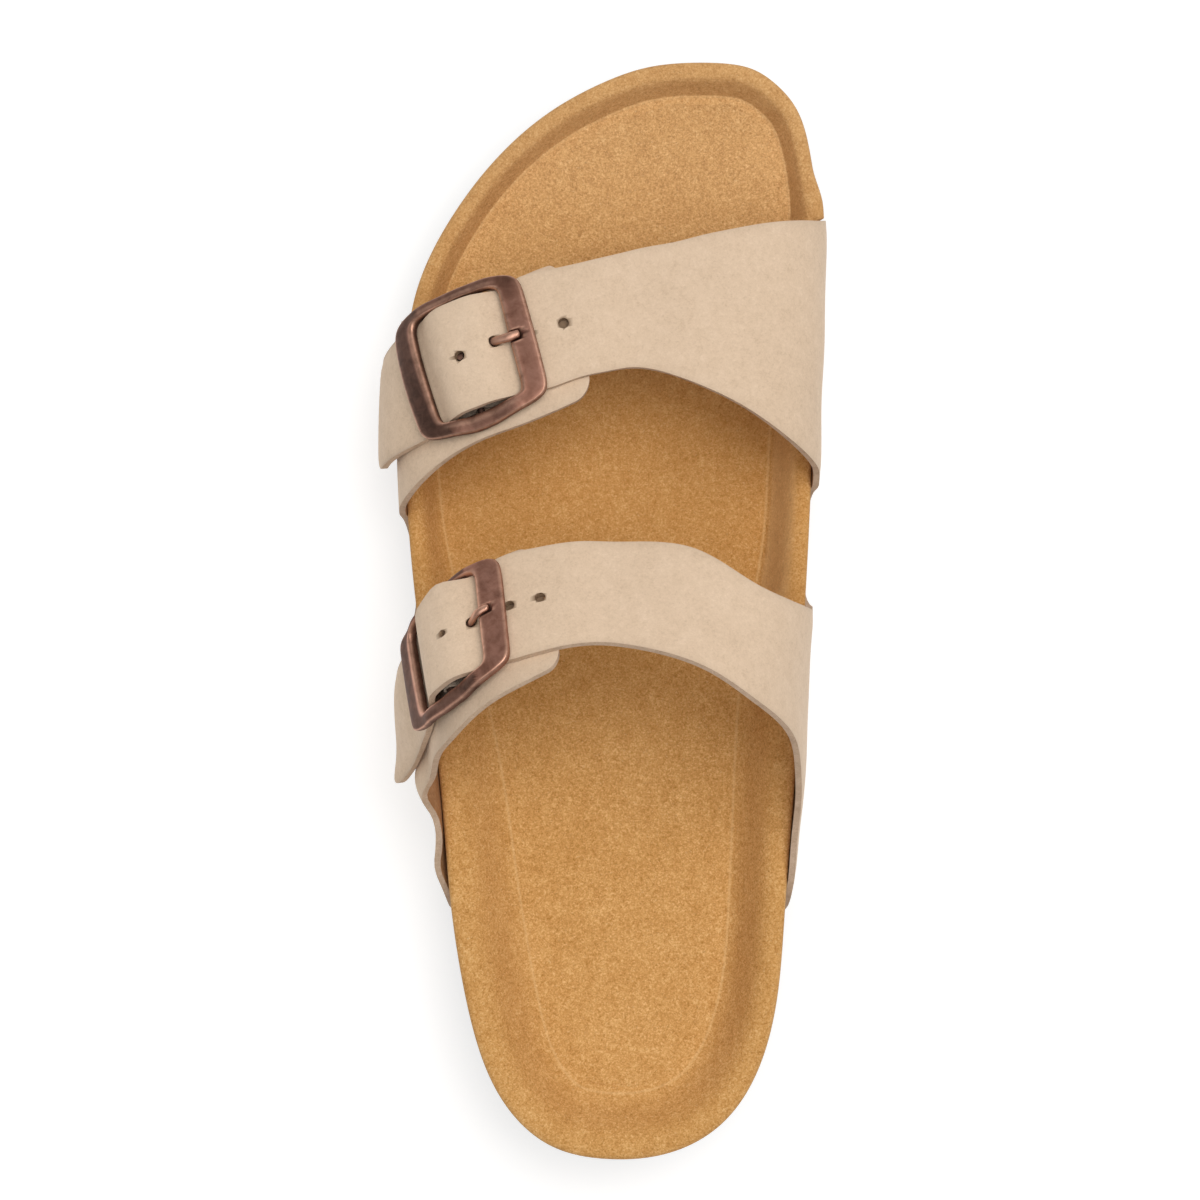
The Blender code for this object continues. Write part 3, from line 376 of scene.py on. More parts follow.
# ----------------------------------------------------------------- materials
class Nodes:
    """Short way to write a node material."""

    def __init__(self, name):
        self.mat = bpy.data.materials.new(name)
        self.mat.use_nodes = True
        self.tree = self.mat.node_tree
        self.shader = self.tree.nodes["Principled BSDF"]
        self.place = self.add("ShaderNodeTexCoord").outputs["Object"]

    def add(self, kind, **props):
        n = self.tree.nodes.new(kind)
        for k, v in props.items():
            setattr(n, k, v)
        return n

    def link(self, a, b):
        self.tree.links.new(a, b)

    def feed(self, socket, value):
        if isinstance(value, bpy.types.NodeSocket):
            self.link(value, socket)
        else:
            socket.default_value = value

    def noise(self, scale, detail=3.0, rough=0.55, distortion=0.0, place=None, squeeze=None):
        n = self.add("ShaderNodeTexNoise")
        place = place or self.place
        if squeeze:
            m = self.add("ShaderNodeMapping")
            m.inputs["Rotation"].default_value = squeeze[1]
            m.inputs["Scale"].default_value = squeeze[0]
            self.link(place, m.inputs["Vector"])
            place = m.outputs["Vector"]
        self.link(place, n.inputs["Vector"])
        n.inputs["Scale"].default_value = scale
        n.inputs["Detail"].default_value = detail
        n.inputs["Roughness"].default_value = rough
        n.inputs["Distortion"].default_value = distortion
        return n.outputs["Fac"]

    def math(self, op, a, b=0.0, clamp=False):
        n = self.add("ShaderNodeMath", operation=op, use_clamp=clamp)
        self.feed(n.inputs[0], a)
        self.feed(n.inputs[1], b)
        return n.outputs[0]

    def spread(self, value, low, high, to_low=0.0, to_high=1.0):
        n = self.add("ShaderNodeMapRange", clamp=True)
        self.feed(n.inputs["Value"], value)
        n.inputs["From Min"].default_value = low
        n.inputs["From Max"].default_value = high
        n.inputs["To Min"].default_value = to_low
        n.inputs["To Max"].default_value = to_high
        return n.outputs["Result"]

    def ramp(self, value, stops):
        n = self.add("ShaderNodeValToRGB")
        self.link(value, n.inputs["Fac"])
        e = n.color_ramp.elements
        while len(e) < len(stops):
            e.new(0.5)
        for i, (pos, color) in enumerate(stops):
            e[i].position = pos
            e[i].color = (*color, 1.0)
        return n.outputs["Color"]

    def mix(self, fac, a, b, blend='MIX'):
        n = self.add("ShaderNodeMix", data_type='RGBA', blend_type=blend)
        self.feed(n.inputs[0], fac)
        self.feed(n.inputs[6], a if isinstance(a, bpy.types.NodeSocket) else (*a, 1.0))
        self.feed(n.inputs[7], b if isinstance(b, bpy.types.NodeSocket) else (*b, 1.0))
        return n.outputs[2]

    def masks(self):
        a = self.add("ShaderNodeAttribute", attribute_name="mask", attribute_type='GEOMETRY')
        s = self.add("ShaderNodeSeparateColor")
        self.link(a.outputs["Color"], s.inputs["Color"])
        return s.outputs[0], s.outputs[1], s.outputs[2]

    def bump(self, height, strength, distance, under=None):
        n = self.add("ShaderNodeBump")
        self.link(height, n.inputs["Height"])
        n.inputs["Strength"].default_value = strength
        n.inputs["Distance"].default_value = distance
        if under is not None:
            self.link(under, n.inputs["Normal"])
        return n.outputs["Normal"]

    def done(self, color, roughness, normal=None, metallic=0.0, sheen=None, coat=None, specular=None):
        s = self.shader.inputs
        self.feed(s["Base Color"], color if isinstance(color, bpy.types.NodeSocket) else (*color, 1.0))
        self.feed(s["Roughness"], roughness)
        s["Metallic"].default_value = metallic
        if normal is not None:
            self.link(normal, s["Normal"])
        if sheen:
            s["Sheen Weight"].default_value = sheen[0]
            s["Sheen Roughness"].default_value = sheen[1]
            s["Sheen Tint"].default_value = (*sheen[2], 1.0)
        if coat:
            s["Coat Weight"].default_value = coat[0]
            s["Coat Roughness"].default_value = coat[1]
        if specular is not None:
            s["Specular IOR Level"].default_value = specular
        return self.mat


def suede_material():
    m = Nodes("suede_lining")
    wall, rim, seam_and_painted_light = m.masks()
    fibre = m.noise(2500, 2.0, 0.7, 0.4)
    nap = m.noise(1250, 3.0, 0.65, 0.6)
    mottle = m.noise(300, 3.0, 0.6, 0.3)
    patch = m.noise(34, 3.0, 0.5, 0.5)
    brush = m.noise(420, 2.0, 0.5, 0.2, squeeze=((1.0, 0.30, 1.0), (0.0, 0.0, 0.35)))
    tone = m.math('ADD', m.math('MULTIPLY', fibre, 0.40), m.math('MULTIPLY', nap, 0.34))
    tone = m.math('ADD', tone, m.math('MULTIPLY', mottle, 0.12))
    tone = m.math('ADD', tone, m.math('MULTIPLY', patch, 0.07))
    tone = m.math('ADD', tone, m.math('MULTIPLY', brush, 0.07))
    color = m.ramp(tone, [(0.36, (0.400, 0.180, 0.042)), (0.46, (0.560, 0.282, 0.085)),
                          (0.54, (0.665, 0.360, 0.125)), (0.65, (0.840, 0.535, 0.240))])
    fleck = m.spread(m.noise(2100, 2.0, 0.5, 0.8), 0.62, 0.72)
    color = m.mix(m.math('MULTIPLY', fleck, 0.38), color, (0.90, 0.64, 0.33))
    pit = m.spread(m.noise(1500, 2.0, 0.5, 0.8), 0.38, 0.29)
    color = m.mix(m.math('MULTIPLY', pit, 0.34), color, (0.34, 0.145, 0.036))
    # painted light on the bare toe end, which is lightened a little, and painted shade on the stretch between and under
    # the straps, which is darkened
    along = m.add("ShaderNodeSeparateXYZ")
    m.link(m.place, along.inputs[0])
    y = along.outputs[1]
    painted_toe_light = m.spread(y, 0.050, 0.105)
    color = m.mix(painted_toe_light, color, (0.030, 0.038, 0.040), 'ADD')
    painted_strap_shade = m.math('MULTIPLY', m.spread(y, -0.030, 0.010), m.spread(y, 0.075, 0.045))
    color = m.mix(m.math('MULTIPLY', painted_strap_shade, 0.20), color, (0.44, 0.185, 0.045))
    # colour of the darker wall: a burnished band in the suede round the toes, and painted shade on the heel and arch
    # walls
    wear_and_painted_light = m.mix(m.spread(mottle, 0.35, 0.65, 0.0, 1.0), (0.43, 0.205, 0.062), (0.52, 0.265, 0.088))
    color = m.mix(m.math('MULTIPLY', wall, 0.62), color, wear_and_painted_light)
    # lighter pressed seam line where the wall meets the bed, plus a painted highlight on the medial arch wall between
    # the straps
    color = m.mix(m.math('MULTIPLY', seam_and_painted_light, 0.42), color, (0.86, 0.58, 0.29))
    color = m.mix(m.math('MULTIPLY', rim, 0.60), color, (0.40, 0.240, 0.118))
    height = m.math('ADD', m.math('MULTIPLY', fibre, 0.5), m.math('MULTIPLY', nap, 0.6))
    normal = m.bump(height, 0.36, 0.0005)
    rough = m.spread(fibre, 0.3, 0.7, 0.98, 0.86)
    return m.done(color, rough, normal, sheen=(0.18, 0.5, (0.95, 0.68, 0.38)), specular=0.12)


def nubuck_material():
    m = Nodes("nubuck_face")
    edge, fold, under = m.masks()
    grain = m.noise(2300, 3.0, 0.65)
    pores = m.noise(1000, 3.0, 0.65, 0.5)
    mottle = m.noise(260, 4.0, 0.6, 0.3)
    cloud = m.noise(36, 3.0, 0.5, 0.4)
    tone = m.math('ADD', m.math('MULTIPLY', grain, 0.32), m.math('MULTIPLY', pores, 0.34))
    tone = m.math('ADD', tone, m.math('MULTIPLY', mottle, 0.24))
    tone = m.math('ADD', tone, m.math('MULTIPLY', cloud, 0.10))
    color = m.ramp(tone, [(0.36, (0.585, 0.432, 0.302)), (0.47, (0.670, 0.505, 0.359)),
                          (0.55, (0.708, 0.538, 0.388)), (0.66, (0.775, 0.603, 0.450))])
    speck = m.spread(m.noise(720, 1.0, 0.4), 0.71, 0.79)
    color = m.mix(m.math('MULTIPLY', speck, 0.14), color, (0.46, 0.32, 0.21))
    # darker band along the strap edges; along the tails it is deepened as painted shade where a tail stands off the
    # panel
    color = m.mix(m.math('MULTIPLY', edge, 0.34), color, (0.46, 0.345, 0.250))
    # painted highlight: lighter on the top of the hump where the strap rides over the bar
    color = m.mix(m.math('MULTIPLY', fold, 0.20), color, (0.80, 0.64, 0.49))
    # painted shade: dark where the short strap shows through the long strap's holes
    color = m.mix(m.math('MULTIPLY', under, 0.92), color, (0.23, 0.145, 0.085))
    height = m.math('ADD', m.math('MULTIPLY', grain, 0.5), m.math('MULTIPLY', pores, 0.6))
    normal = m.bump(height, 0.28, 0.00035)
    rough = m.spread(mottle, 0.3, 0.7, 0.84, 0.72)
    return m.done(color, rough, normal, sheen=(0.12, 0.45, (1.0, 0.88, 0.75)), specular=0.25)


def cut_edge_material():
    m = Nodes("leather_cut_edge")
    fibre = m.noise(1700, 4.0, 0.7, 1.0)
    blot = m.noise(330, 3.0, 0.6)
    tone = m.math('ADD', m.math('MULTIPLY', fibre, 0.6), m.math('MULTIPLY', blot, 0.4))
    color = m.ramp(tone, [(0.34, (0.43, 0.30, 0.205)), (0.5, (0.545, 0.395, 0.280)), (0.66, (0.65, 0.49, 0.36))])
    return m.done(color, 0.88, m.bump(fibre, 0.35, 0.0004), specular=0.2)


def strap_lining_material():
    m = Nodes("strap_lining")
    felt = m.noise(1300, 4.0, 0.7, 1.0)
    mottle = m.noise(220, 3.0, 0.6)
    tone = m.math('ADD', m.math('MULTIPLY', felt, 0.6), m.math('MULTIPLY', mottle, 0.4))
    color = m.ramp(tone, [(0.33, (0.37, 0.190, 0.085)), (0.5, (0.47, 0.255, 0.125)), (0.68, (0.57, 0.33, 0.175))])
    return m.done(color, 0.95, m.bump(felt, 0.4, 0.0006), specular=0.15)


# hole walls coloured darker than the cut edge: painted shade inside the punched holes
def shaded_hole_material():
    m = Nodes("punched_hole_painted_shade")
    fibre = m.noise(1500, 3.0, 0.6)
    color = m.ramp(fibre, [(0.35, (0.19, 0.115, 0.062)), (0.65, (0.33, 0.21, 0.125))])
    return m.done(color, 0.9, m.bump(fibre, 0.4, 0.0004))


def cork_material():
    m = Nodes("pressed_cork")
    warp = m.add("ShaderNodeVectorMath", operation='ADD')
    wob = m.add("ShaderNodeTexNoise")
    m.link(m.place, wob.inputs["Vector"])
    wob.inputs["Scale"].default_value = 420
    scaled = m.add("ShaderNodeVectorMath", operation='SCALE')
    m.link(wob.outputs["Color"], scaled.inputs[0])
    scaled.inputs["Scale"].default_value = 0.0022
    m.link(m.place, warp.inputs[0])
    m.link(scaled.outputs[0], warp.inputs[1])
    cell = m.add("ShaderNodeTexVoronoi")
    m.link(warp.outputs[0], cell.inputs["Vector"])
    cell.inputs["Scale"].default_value = 540
    seam = m.add("ShaderNodeTexVoronoi", feature='DISTANCE_TO_EDGE')
    m.link(warp.outputs[0], seam.inputs["Vector"])
    seam.inputs["Scale"].default_value = 540
    pick = m.add("ShaderNodeSeparateColor")
    m.link(cell.outputs["Color"], pick.inputs["Color"])
    grain = m.noise(1600, 3.0, 0.6)
    tone = m.math('ADD', m.math('MULTIPLY', pick.outputs[0], 0.75), m.math('MULTIPLY', grain, 0.3))
    color = m.ramp(tone, [(0.08, (0.12, 0.065, 0.03)), (0.22, (0.30, 0.175, 0.08)),
                          (0.6, (0.46, 0.29, 0.14)), (0.95, (0.60, 0.41, 0.22))])
    gap = m.spread(seam.outputs["Distance"], 0.0, 0.12)
    color = m.mix(gap, (0.26, 0.150, 0.070), color)
    height = m.math('ADD', m.math('MULTIPLY', gap, 0.7), m.math('MULTIPLY', grain, 0.3))
    return m.done(color, m.spread(pick.outputs[1], 0.0, 1.0, 0.55, 0.8),
                  m.bump(height, 0.4, 0.0005), coat=(0.12, 0.45))


def eva_material():
    m = Nodes("moulded_sole")
    pebble = m.add("ShaderNodeTexVoronoi", feature='SMOOTH_F1')
    m.link(m.place, pebble.inputs["Vector"])
    pebble.inputs["Scale"].default_value = 1100
    cloud = m.noise(60, 4.0, 0.6)
    dust = m.noise(500, 4.0, 0.7)
    tone = m.math('ADD', m.math('MULTIPLY', cloud, 0.5), m.math('MULTIPLY', dust, 0.5))
    color = m.ramp(tone, [(0.34, (0.030, 0.020, 0.015)), (0.5, (0.045, 0.031, 0.023)), (0.68, (0.070, 0.050, 0.038))])
    return m.done(color, m.spread(dust, 0.3, 0.7, 0.62, 0.82),
                  m.bump(pebble.outputs["Distance"], 0.3, 0.0004), specular=0.35)


def copper_material(name, shade=1.0):
    m = Nodes(name)
    wear_and_painted_light, painted_recess_shade, patina_and_painted_shade = m.masks()
    cloud = m.noise(150, 4.0, 0.6, 0.8)
    smear = m.noise(420, 4.0, 0.65, 0.6)
    fine = m.noise(2600, 2.0, 0.6)
    tone = m.math('ADD', m.math('MULTIPLY', cloud, 0.6), m.math('MULTIPLY', smear, 0.4))
    # shade scales the whole colour: a painted brightness set for each frame by how it lies to the lamps
    color = m.ramp(tone, [(0.30, (0.195 * shade, 0.086 * shade, 0.059 * shade)),
                          (0.46, (0.310 * shade, 0.148 * shade, 0.103 * shade)),
                          (0.56, (0.375 * shade, 0.190 * shade, 0.138 * shade)),
                          (0.72, (0.455 * shade, 0.245 * shade, 0.180 * shade))])
    patina = m.mix(m.spread(smear, 0.35, 0.65), (0.058, 0.034, 0.026), (0.100, 0.058, 0.045))
    color = m.mix(m.math('MULTIPLY', patina_and_painted_shade, m.spread(cloud, 0.25, 0.6, 1.0, 0.72)), color, patina)
    # rubbed copper on the inner lip, the sides and the ring round the prong's seat, brightened as painted highlight
    bright = m.math('MULTIPLY', wear_and_painted_light, m.spread(smear, 0.32, 0.62, 0.45, 1.0))
    color = m.mix(m.math('MULTIPLY', bright, 0.88), color, (0.72, 0.43, 0.31))
    # painted shade: near-black in the prong's hollow, on the centre bar inside the frame and at the prong's root
    color = m.mix(m.math('MULTIPLY', painted_recess_shade, 0.85), color, (0.045, 0.026, 0.02))
    rough = m.math('ADD', m.spread(cloud, 0.3, 0.7, 0.36, 0.52), m.math('MULTIPLY', fine, 0.06))
    rough = m.math('ADD', rough, m.math('MULTIPLY', patina_and_painted_shade, 0.12))
    return m.done(color, rough, m.bump(fine, 0.05, 0.0001), metallic=1.0)


# the keeper is coloured dark grey-brown as painted shade, for a strip that sits in the shade inside the frame
def shaded_keeper_material():
    m = Nodes("keeper_strip_painted_shade")
    fibre = m.noise(1500, 4.0, 0.7, 0.8)
    color = m.ramp(fibre, [(0.34, (0.15, 0.115, 0.085)), (0.5, (0.22, 0.175, 0.135)), (0.66, (0.30, 0.245, 0.195))])
    return m.done(color, 0.9, m.bump(fibre, 0.35, 0.0005), specular=0.2)


SUEDE = suede_material()
NUBUCK = nubuck_material()
CUT_EDGE = cut_edge_material()
LINING = strap_lining_material()
HOLE = shaded_hole_material()
CORK = cork_material()
EVA = eva_material()
# the front frame is painted darker and the rear frame lighter, as painted shade and painted light for how each lies to
# the lamps
COPPER = {"front": copper_material("antique_copper_front_painted_shade", 0.80), "rear": copper_material("antique_copper_rear_painted_light", 1.32)}
WIRE = copper_material("prong_copper", 1.05)
STRIP = shaded_keeper_material()


# ---------------------------------------------------------------- sole loops
class Loop:
    """Closed plan loop from the heel tip along the medial side and back."""

    def __init__(self, ys):
        self.ys = np.asarray(ys, float)
        self.n = len(self.ys) - 1
        self.y = np.concatenate([self.ys, self.ys[-2:0:-1]])
        self.side = np.array([1] * (self.n + 1) + [-1] * (self.n - 1))
        self.x = np.where(self.side > 0, edge_x(self.y, 1), edge_x(self.y, -1))
        self.count = 2 * self.n
        fine = -LENGTH / 2 * np.cos(math.pi * np.clip(
            np.arccos(np.clip(-2 * self.y / LENGTH, -1, 1)) / math.pi, 1e-3, 1 - 1e-3))
        step = 0.02
        a = np.clip(fine - step, -LENGTH / 2, LENGTH / 2)
        b = np.clip(fine + step, -LENGTH / 2, LENGTH / 2)
        dx = np.where(self.side > 0, edge_x(b, 1) - edge_x(a, 1), edge_x(b, -1) - edge_x(a, -1))
        t = np.stack([dx, b - a], -1)
        t /= np.linalg.norm(t, axis=1, keepdims=True)
        inward = np.stack([-t[:, 1], t[:, 0]], -1) * self.side[:, None]
        inward[0], inward[self.n] = (0.0, 1.0), (0.0, -1.0)
        self.inward = inward
        self.s = share(self.y)

    def inset(self, d):
        d = np.broadcast_to(d, (self.count,))
        d = d - toe_swell(self.y, self.side) * np.clip(1 - d / 6.0, 0, 1)
        return np.stack([self.x, self.y], -1) + self.inward * d[:, None]

    def ring(self, d, z):
        return np.column_stack([self.inset(d), np.broadcast_to(z, (self.count,))])

    def by_side(self, lat, med):
        l, m = lat(self.s), med(self.s)
        across = np.sin(np.arccos(np.clip(-2 * self.y / LENGTH, -1, 1)))
        mean = (l + m) / 2
        return mean + (np.where(self.side > 0, m, l) - mean) * np.clip(across * 3, 0, 1)

    def strips(self, first, second):
        n = self.count
        return [(first + i, first + (i + 1) % n, second + (i + 1) % n, second + i) for i in range(n)]

    def ladder(self, start):
        n, c = self.n, self.count
        faces = [(start, start + 1, start + c - 1), (start + n, start + n + 1, start + n - 1)]
        faces += [(start + j, start + j + 1, start + c - j - 1, start + c - j) for j in range(1, n - 1)]
        return faces


AROUND = 190
sole = Loop(np.sort(np.concatenate([-LENGTH / 2 * np.cos(math.pi * np.arange(AROUND + 1) / AROUND),
                                    np.linspace(*TOE_SWELL[1:3], 5)[1:]])))
RIM_Z = sole.by_side(rim_lat_of, rim_med_of)
WALL_W = sole.by_side(wall_lat_of, wall_med_of)
CREASE_Z = bed_of(sole.s) + dish_of(sole.s)
TUCK = tuck_of(sole.s)

# Rim and wall from the crest to the crease: the cup of heel and arch, and the
# steeper bank round the toes.
cup = curve_through((0, 0.2, 0.38, 0.62, 0.82, 1.0), (1.0, 0.95, 0.80, 0.42, 0.14, 0.0))
bank = curve_through((0, 0.2, 0.36, 0.52, 0.68, 0.84, 1.0), (1.0, 0.975, 0.90, 0.715, 0.485, 0.245, 0.0))


def insole_mesh():
    toe = ease(0.60, 0.80, sole.s)
    loops, masks = [], []

    def add(d, z, wall=0.0, rim=0.0, seam_and_painted_light=0.0):
        loops.append(sole.ring(d, z))
        masks.append(np.stack([np.broadcast_to(v, (sole.count,)) for v in (wall, rim, seam_and_painted_light)], -1))

    for d, dz, rim in ((0.5, -3.1, 1.0), (0.16, -2.4, 1.0), (0.0, -1.6, 0.8), (0.05, -1.05, 0.45),
                       (0.26, -0.58, 0.18), (0.65, -0.25, 0.04), (1.2, -0.07, 0.0), (2.0, 0.0, 0.0)):
        add(d, RIM_Z + dz, wall=0.36 * toe, rim=rim)

    def seam(near):
        """Fine pressed line where the wall meets the bed."""
        return (0.07 + 0.10 * toe) * np.exp(-((near - 0.1) / 0.32) ** 2), \
            (0.65 - 0.25 * toe) * np.exp(-((near - 0.15) / 0.30) ** 2)

    def wall_ring(d):
        w = np.clip((d - RIM_CREST) / (WALL_W - RIM_CREST), 0, 1)
        high = cup(w) * (1 - toe) + bank(w) * toe
        z = CREASE_Z + (RIM_Z - CREASE_Z) * high
        near = d - WALL_W
        raised, seam_and_painted_light = seam(near)
        # darker wall: round the toes a burnished band in the suede (band); on the heel and arch walls a soft band of
        # painted shade (soft)
        soft = np.exp(-((w - 0.74) / 0.26) ** 2) * 0.12
        band = (0.36 + 0.14 * ease(0.34, 0.56, w)) * np.where(sole.side < 0, 0.78, 0.97)
        dark = (soft * (1 - toe) + band * toe) * (1 - ease(-0.28, 0.02, near))
        # painted highlight: the medial arch wall between the straps is lightened where it turns away from the key light
        arch = (sole.side > 0) * ease(0.40, 0.50, sole.s) * (1 - ease(0.62, 0.72, sole.s))
        seam_and_painted_light = np.maximum(seam_and_painted_light, 0.60 * arch * ease(0.1, 0.35, w) * (1 - ease(-1.5, -0.4, near)))
        add(d, z + raised, wall=dark, seam_and_painted_light=seam_and_painted_light)

    for k in range(1, 12):
        wall_ring(RIM_CREST + (WALL_W - 2.2 - RIM_CREST) * k / 12.0)
    for near in (-2.2, -1.7, -1.25, -0.9, -0.62, -0.42, -0.28, -0.16, -0.06, 0.04, 0.14):
        wall_ring(WALL_W + near)
    edge = sole.inset(WALL_W)[:, 0]
    mirror = np.concatenate([[0], np.arange(sole.count - 1, 0, -1)])
    wide = np.maximum(np.abs(edge - edge[mirror]), 1.0)
    level = np.minimum(1.0, wide / 45.0)
    for near in (0.26, 0.40, 0.58, 0.85, 1.3, 2.2):
        w = np.minimum(near / wide, 0.5)
        raised, seam_and_painted_light = seam(near)
        add(WALL_W + near, CREASE_Z - level * dish_of(sole.s) * 4 * w * (1 - w) + raised, seam_and_painted_light=seam_and_painted_light)
    points = np.concatenate(loops)
    mask = np.concatenate(masks)
    faces = []
    for k in range(len(loops) - 1):
        faces += sole.strips(k * sole.count, (k + 1) * sole.count)
    start = (len(loops) - 1) * sole.count
    inner, n, cols = loops[-1], sole.n, 44
    rows, extra = {}, []
    for j in range(1, n):
        a, b = inner[j], inner[sole.count - j]
        ids = [start + j]
        lev = min(1.0, wide[j] / 45.0)
        w0 = min(2.2 / wide[j], 0.45)
        for c in range(1, cols):
            f = c / cols
            p = a + (b - a) * f
            w = w0 + (1 - 2 * w0) * f
            p[2] -= lev * dish_of(share(p[1])) * 4 * (w * (1 - w) - w0 * (1 - w0))
            ids.append(len(points) + len(extra))
            extra.append(p)
        rows[j] = ids + [start + sole.count - j]
    for j in range(1, n - 1):
        for c in range(cols):
            faces.append((rows[j][c], rows[j + 1][c], rows[j + 1][c + 1], rows[j][c + 1]))
    for c in range(cols):
        faces.append((start, rows[1][c], rows[1][c + 1]))
        faces.append((start + n, rows[n - 1][c + 1], rows[n - 1][c]))
    extra = np.array(extra)
    extra[:, 2] += 0.10 * soft_waves(extra[:, 0], extra[:, 1], 3, 26.0)
    points = np.concatenate([points, extra])
    mask = np.concatenate([mask, np.zeros((len(extra), 3))])
    return mesh_from("insole_suede", points, faces, mask, 80)


insole = piece("insole_suede", insole_mesh(), [SUEDE], "insole")
wall = insole.modifiers.new("wall", 'SOLIDIFY')
wall.thickness, wall.offset = 1.2 * MM, -1.0


# ------------------------------------------------------------------- footbed
def footbed_mesh():
    deck = deck_z(sole.y) + 0.1
    top = RIM_Z - 2.6
    loops = [sole.ring(WALL_W + 0.5, CREASE_Z - dish_of(sole.s) - 2.4)]
    for w in (0.8, 0.6, 0.4, 0.2, 0.0):
        loops.append(sole.ring(RIM_CREST + 0.6 + (WALL_W - RIM_CREST) * w,
                               CREASE_Z + (RIM_Z - CREASE_Z) * cup(w) - 2.6))
    loops += [sole.ring(1.0, RIM_Z - 2.5), sole.ring(0.35, RIM_Z - 2.75)]
    for w in np.linspace(0.0, 1.0, 22):
        z = top - 0.5 + (deck - top + 0.5) * w
        drop = (RIM_Z - z) / (RIM_Z - deck)
        grit = 0.07 * soft_waves(sole.x * 3.1 + sole.y * 1.7, z * 3.3, 8, 9.0)
        loops.append(sole.ring(TUCK * drop + 0.10 - np.minimum(grit, 0.08), z))
    loops.append(sole.ring(TUCK + 0.6, deck - 0.05))
    faces = sole.ladder(0)
    for k in range(len(loops) - 1):
        faces += sole.strips((k + 1) * sole.count, k * sole.count)
    faces += sole.ladder((len(loops) - 1) * sole.count)
    me = mesh_from("footbed_cork", np.concatenate(loops), faces, None, 60)
    face_out(me)
    return me


footbed = piece("footbed_cork", footbed_mesh(), [CORK], "footbed")


# ------------------------------------------------------------------- outsole
def groove_centres():
    return [first + i * GROOVE_PITCH for first, number in (HEEL_GROOVES, BALL_GROOVES) for i in range(number)]


def groove_depth(y):
    """Depth of the main tread grooves, with slightly sloping sides."""
    y = np.asarray(y, float)
    deep = np.zeros_like(y)
    for c in groove_centres():
        deep = np.maximum(deep, GROOVE_DEEP * ease(GROOVE_W / 2 + 0.18, GROOVE_W / 2 - 0.18, np.abs(y - c)))
    return deep


def outsole_mesh():
    ys = list(-LENGTH / 2 * np.cos(math.pi * np.arange(231) / 230))
    for c in groove_centres():
        ys += [c + k * (GROOVE_W / 2 + e) for k in (-1, 1) for e in (-0.2, -0.07, 0.07, 0.2)] + [c]
    ys = np.array(sorted(ys))
    keep = [0]
    for i in range(1, len(ys) - 1):
        if ys[i] - ys[keep[-1]] > 0.1 and ys[-1] - ys[i] > 0.005 or i < 6 or i > len(ys) - 7:
            keep.append(i)
    ys = np.concatenate([ys[keep], ys[-1:]])
    lp = Loop(ys)
    tuck = tuck_of(lp.s)
    ledge = np.maximum(0.2, tuck - GAP - STRAP_T)
    base = floor_z(lp.y)
    cutz = base + groove_depth(lp.y)
    profile = ((2.1, 0.0), (1.55, 0.10), (1.1, 0.38), (0.82, 0.85), (0.68, 1.5), (0.56, 2.3), (0.46, 3.4),
               (0.36, 4.8), (0.30, 5.0), (0.46, 5.15), (0.46, 5.45), (0.28, 5.6), (0.20, 6.6), (0.12, 7.8),
               (0.14, 8.45), (0.3, 8.8), (0.7, 8.98), (2.5, 9.0))
    loops = []
    for d, h in profile:
        loops.append(lp.ring(ledge + d, np.maximum(base + h, np.where(h < 3.0, cutz + 0.02 * h, base + h))))
    points = np.concatenate(loops)
    faces = []
    for k in range(len(loops) - 1):
        faces += lp.strips(k * lp.count, (k + 1) * lp.count)
    faces += [f[::-1] for f in lp.ladder((len(loops) - 1) * lp.count)]
    low, cols, extra, rows = loops[0], 84, [], {}
    for j in range(1, lp.n):
        a, b = low[j], low[lp.count - j]
        f = np.linspace(0, 1, cols + 1)[1:-1]
        p = a + (b - a) * f[:, None]
        y, x = p[:, 1], p[:, 0]
        flat = floor_z(y)
        deep = groove_depth(y)
        # fine wavy ribs on the lugs, none under the waist
        wave = np.abs(((x / 11.0) % 1.0) * 2 - 1) * 2.6
        rib = np.sin(2 * math.pi * (y + wave) / 4.17)
        rib = 0.45 * ease(0.25, 0.75, rib)
        inside = np.minimum(f, 1 - f) * np.abs(b[0] - a[0])
        rib = rib * ease(3.0, 5.0, inside) * (1 - ease(-66, -60, y) * (1 - ease(14, 20, y)))
        p[:, 2] = flat + np.maximum(deep, rib * (1 - ease(0.02, 0.4, deep)))
        rows[j] = [j] + [len(points) + len(extra) + i for i in range(len(p))] + [lp.count - j]
        extra += list(p)
    for j in range(1, lp.n - 1):
        for c in range(cols):
            faces.append((rows[j][c], rows[j][c + 1], rows[j + 1][c + 1], rows[j + 1][c]))
    for c in range(cols):
        faces.append((0, rows[1][c + 1], rows[1][c]))
        faces.append((lp.n, rows[lp.n - 1][c], rows[lp.n - 1][c + 1]))
    me = mesh_from("outsole_eva", np.concatenate([points, np.array(extra)]), faces, None, 45)
    face_out(me)
    return me


outsole = piece("outsole_eva", outsole_mesh(), [EVA], "outsole")


# --------------------------------------------------------------------- upper
def flare(deg, y, waves):
    """How far the leather leans away from the rim behind the rear strap."""
    deg, y = np.asarray(deg, float), np.asarray(y, float)
    return sum(high * np.exp(-((y - at_y) / long) ** 2 - ((deg - at_deg) / wide) ** 2)
               for high, at_y, long, at_deg, wide in waves)


def strap_rows(strap, step, corner):
    total = strap.run[-1]
    start = np.array([0.0, 0.2, 0.45, 0.8, 1.25, 1.8, 2.5, 3.3, 4.2])
    body = np.linspace(5.2, total - corner, int(round((total - corner - 5.2) / step)) + 1)
    turn = np.linspace(0, 90, 15)[1:]
    return np.concatenate([start, body, total - corner * (1 - np.sin(np.radians(turn)))])


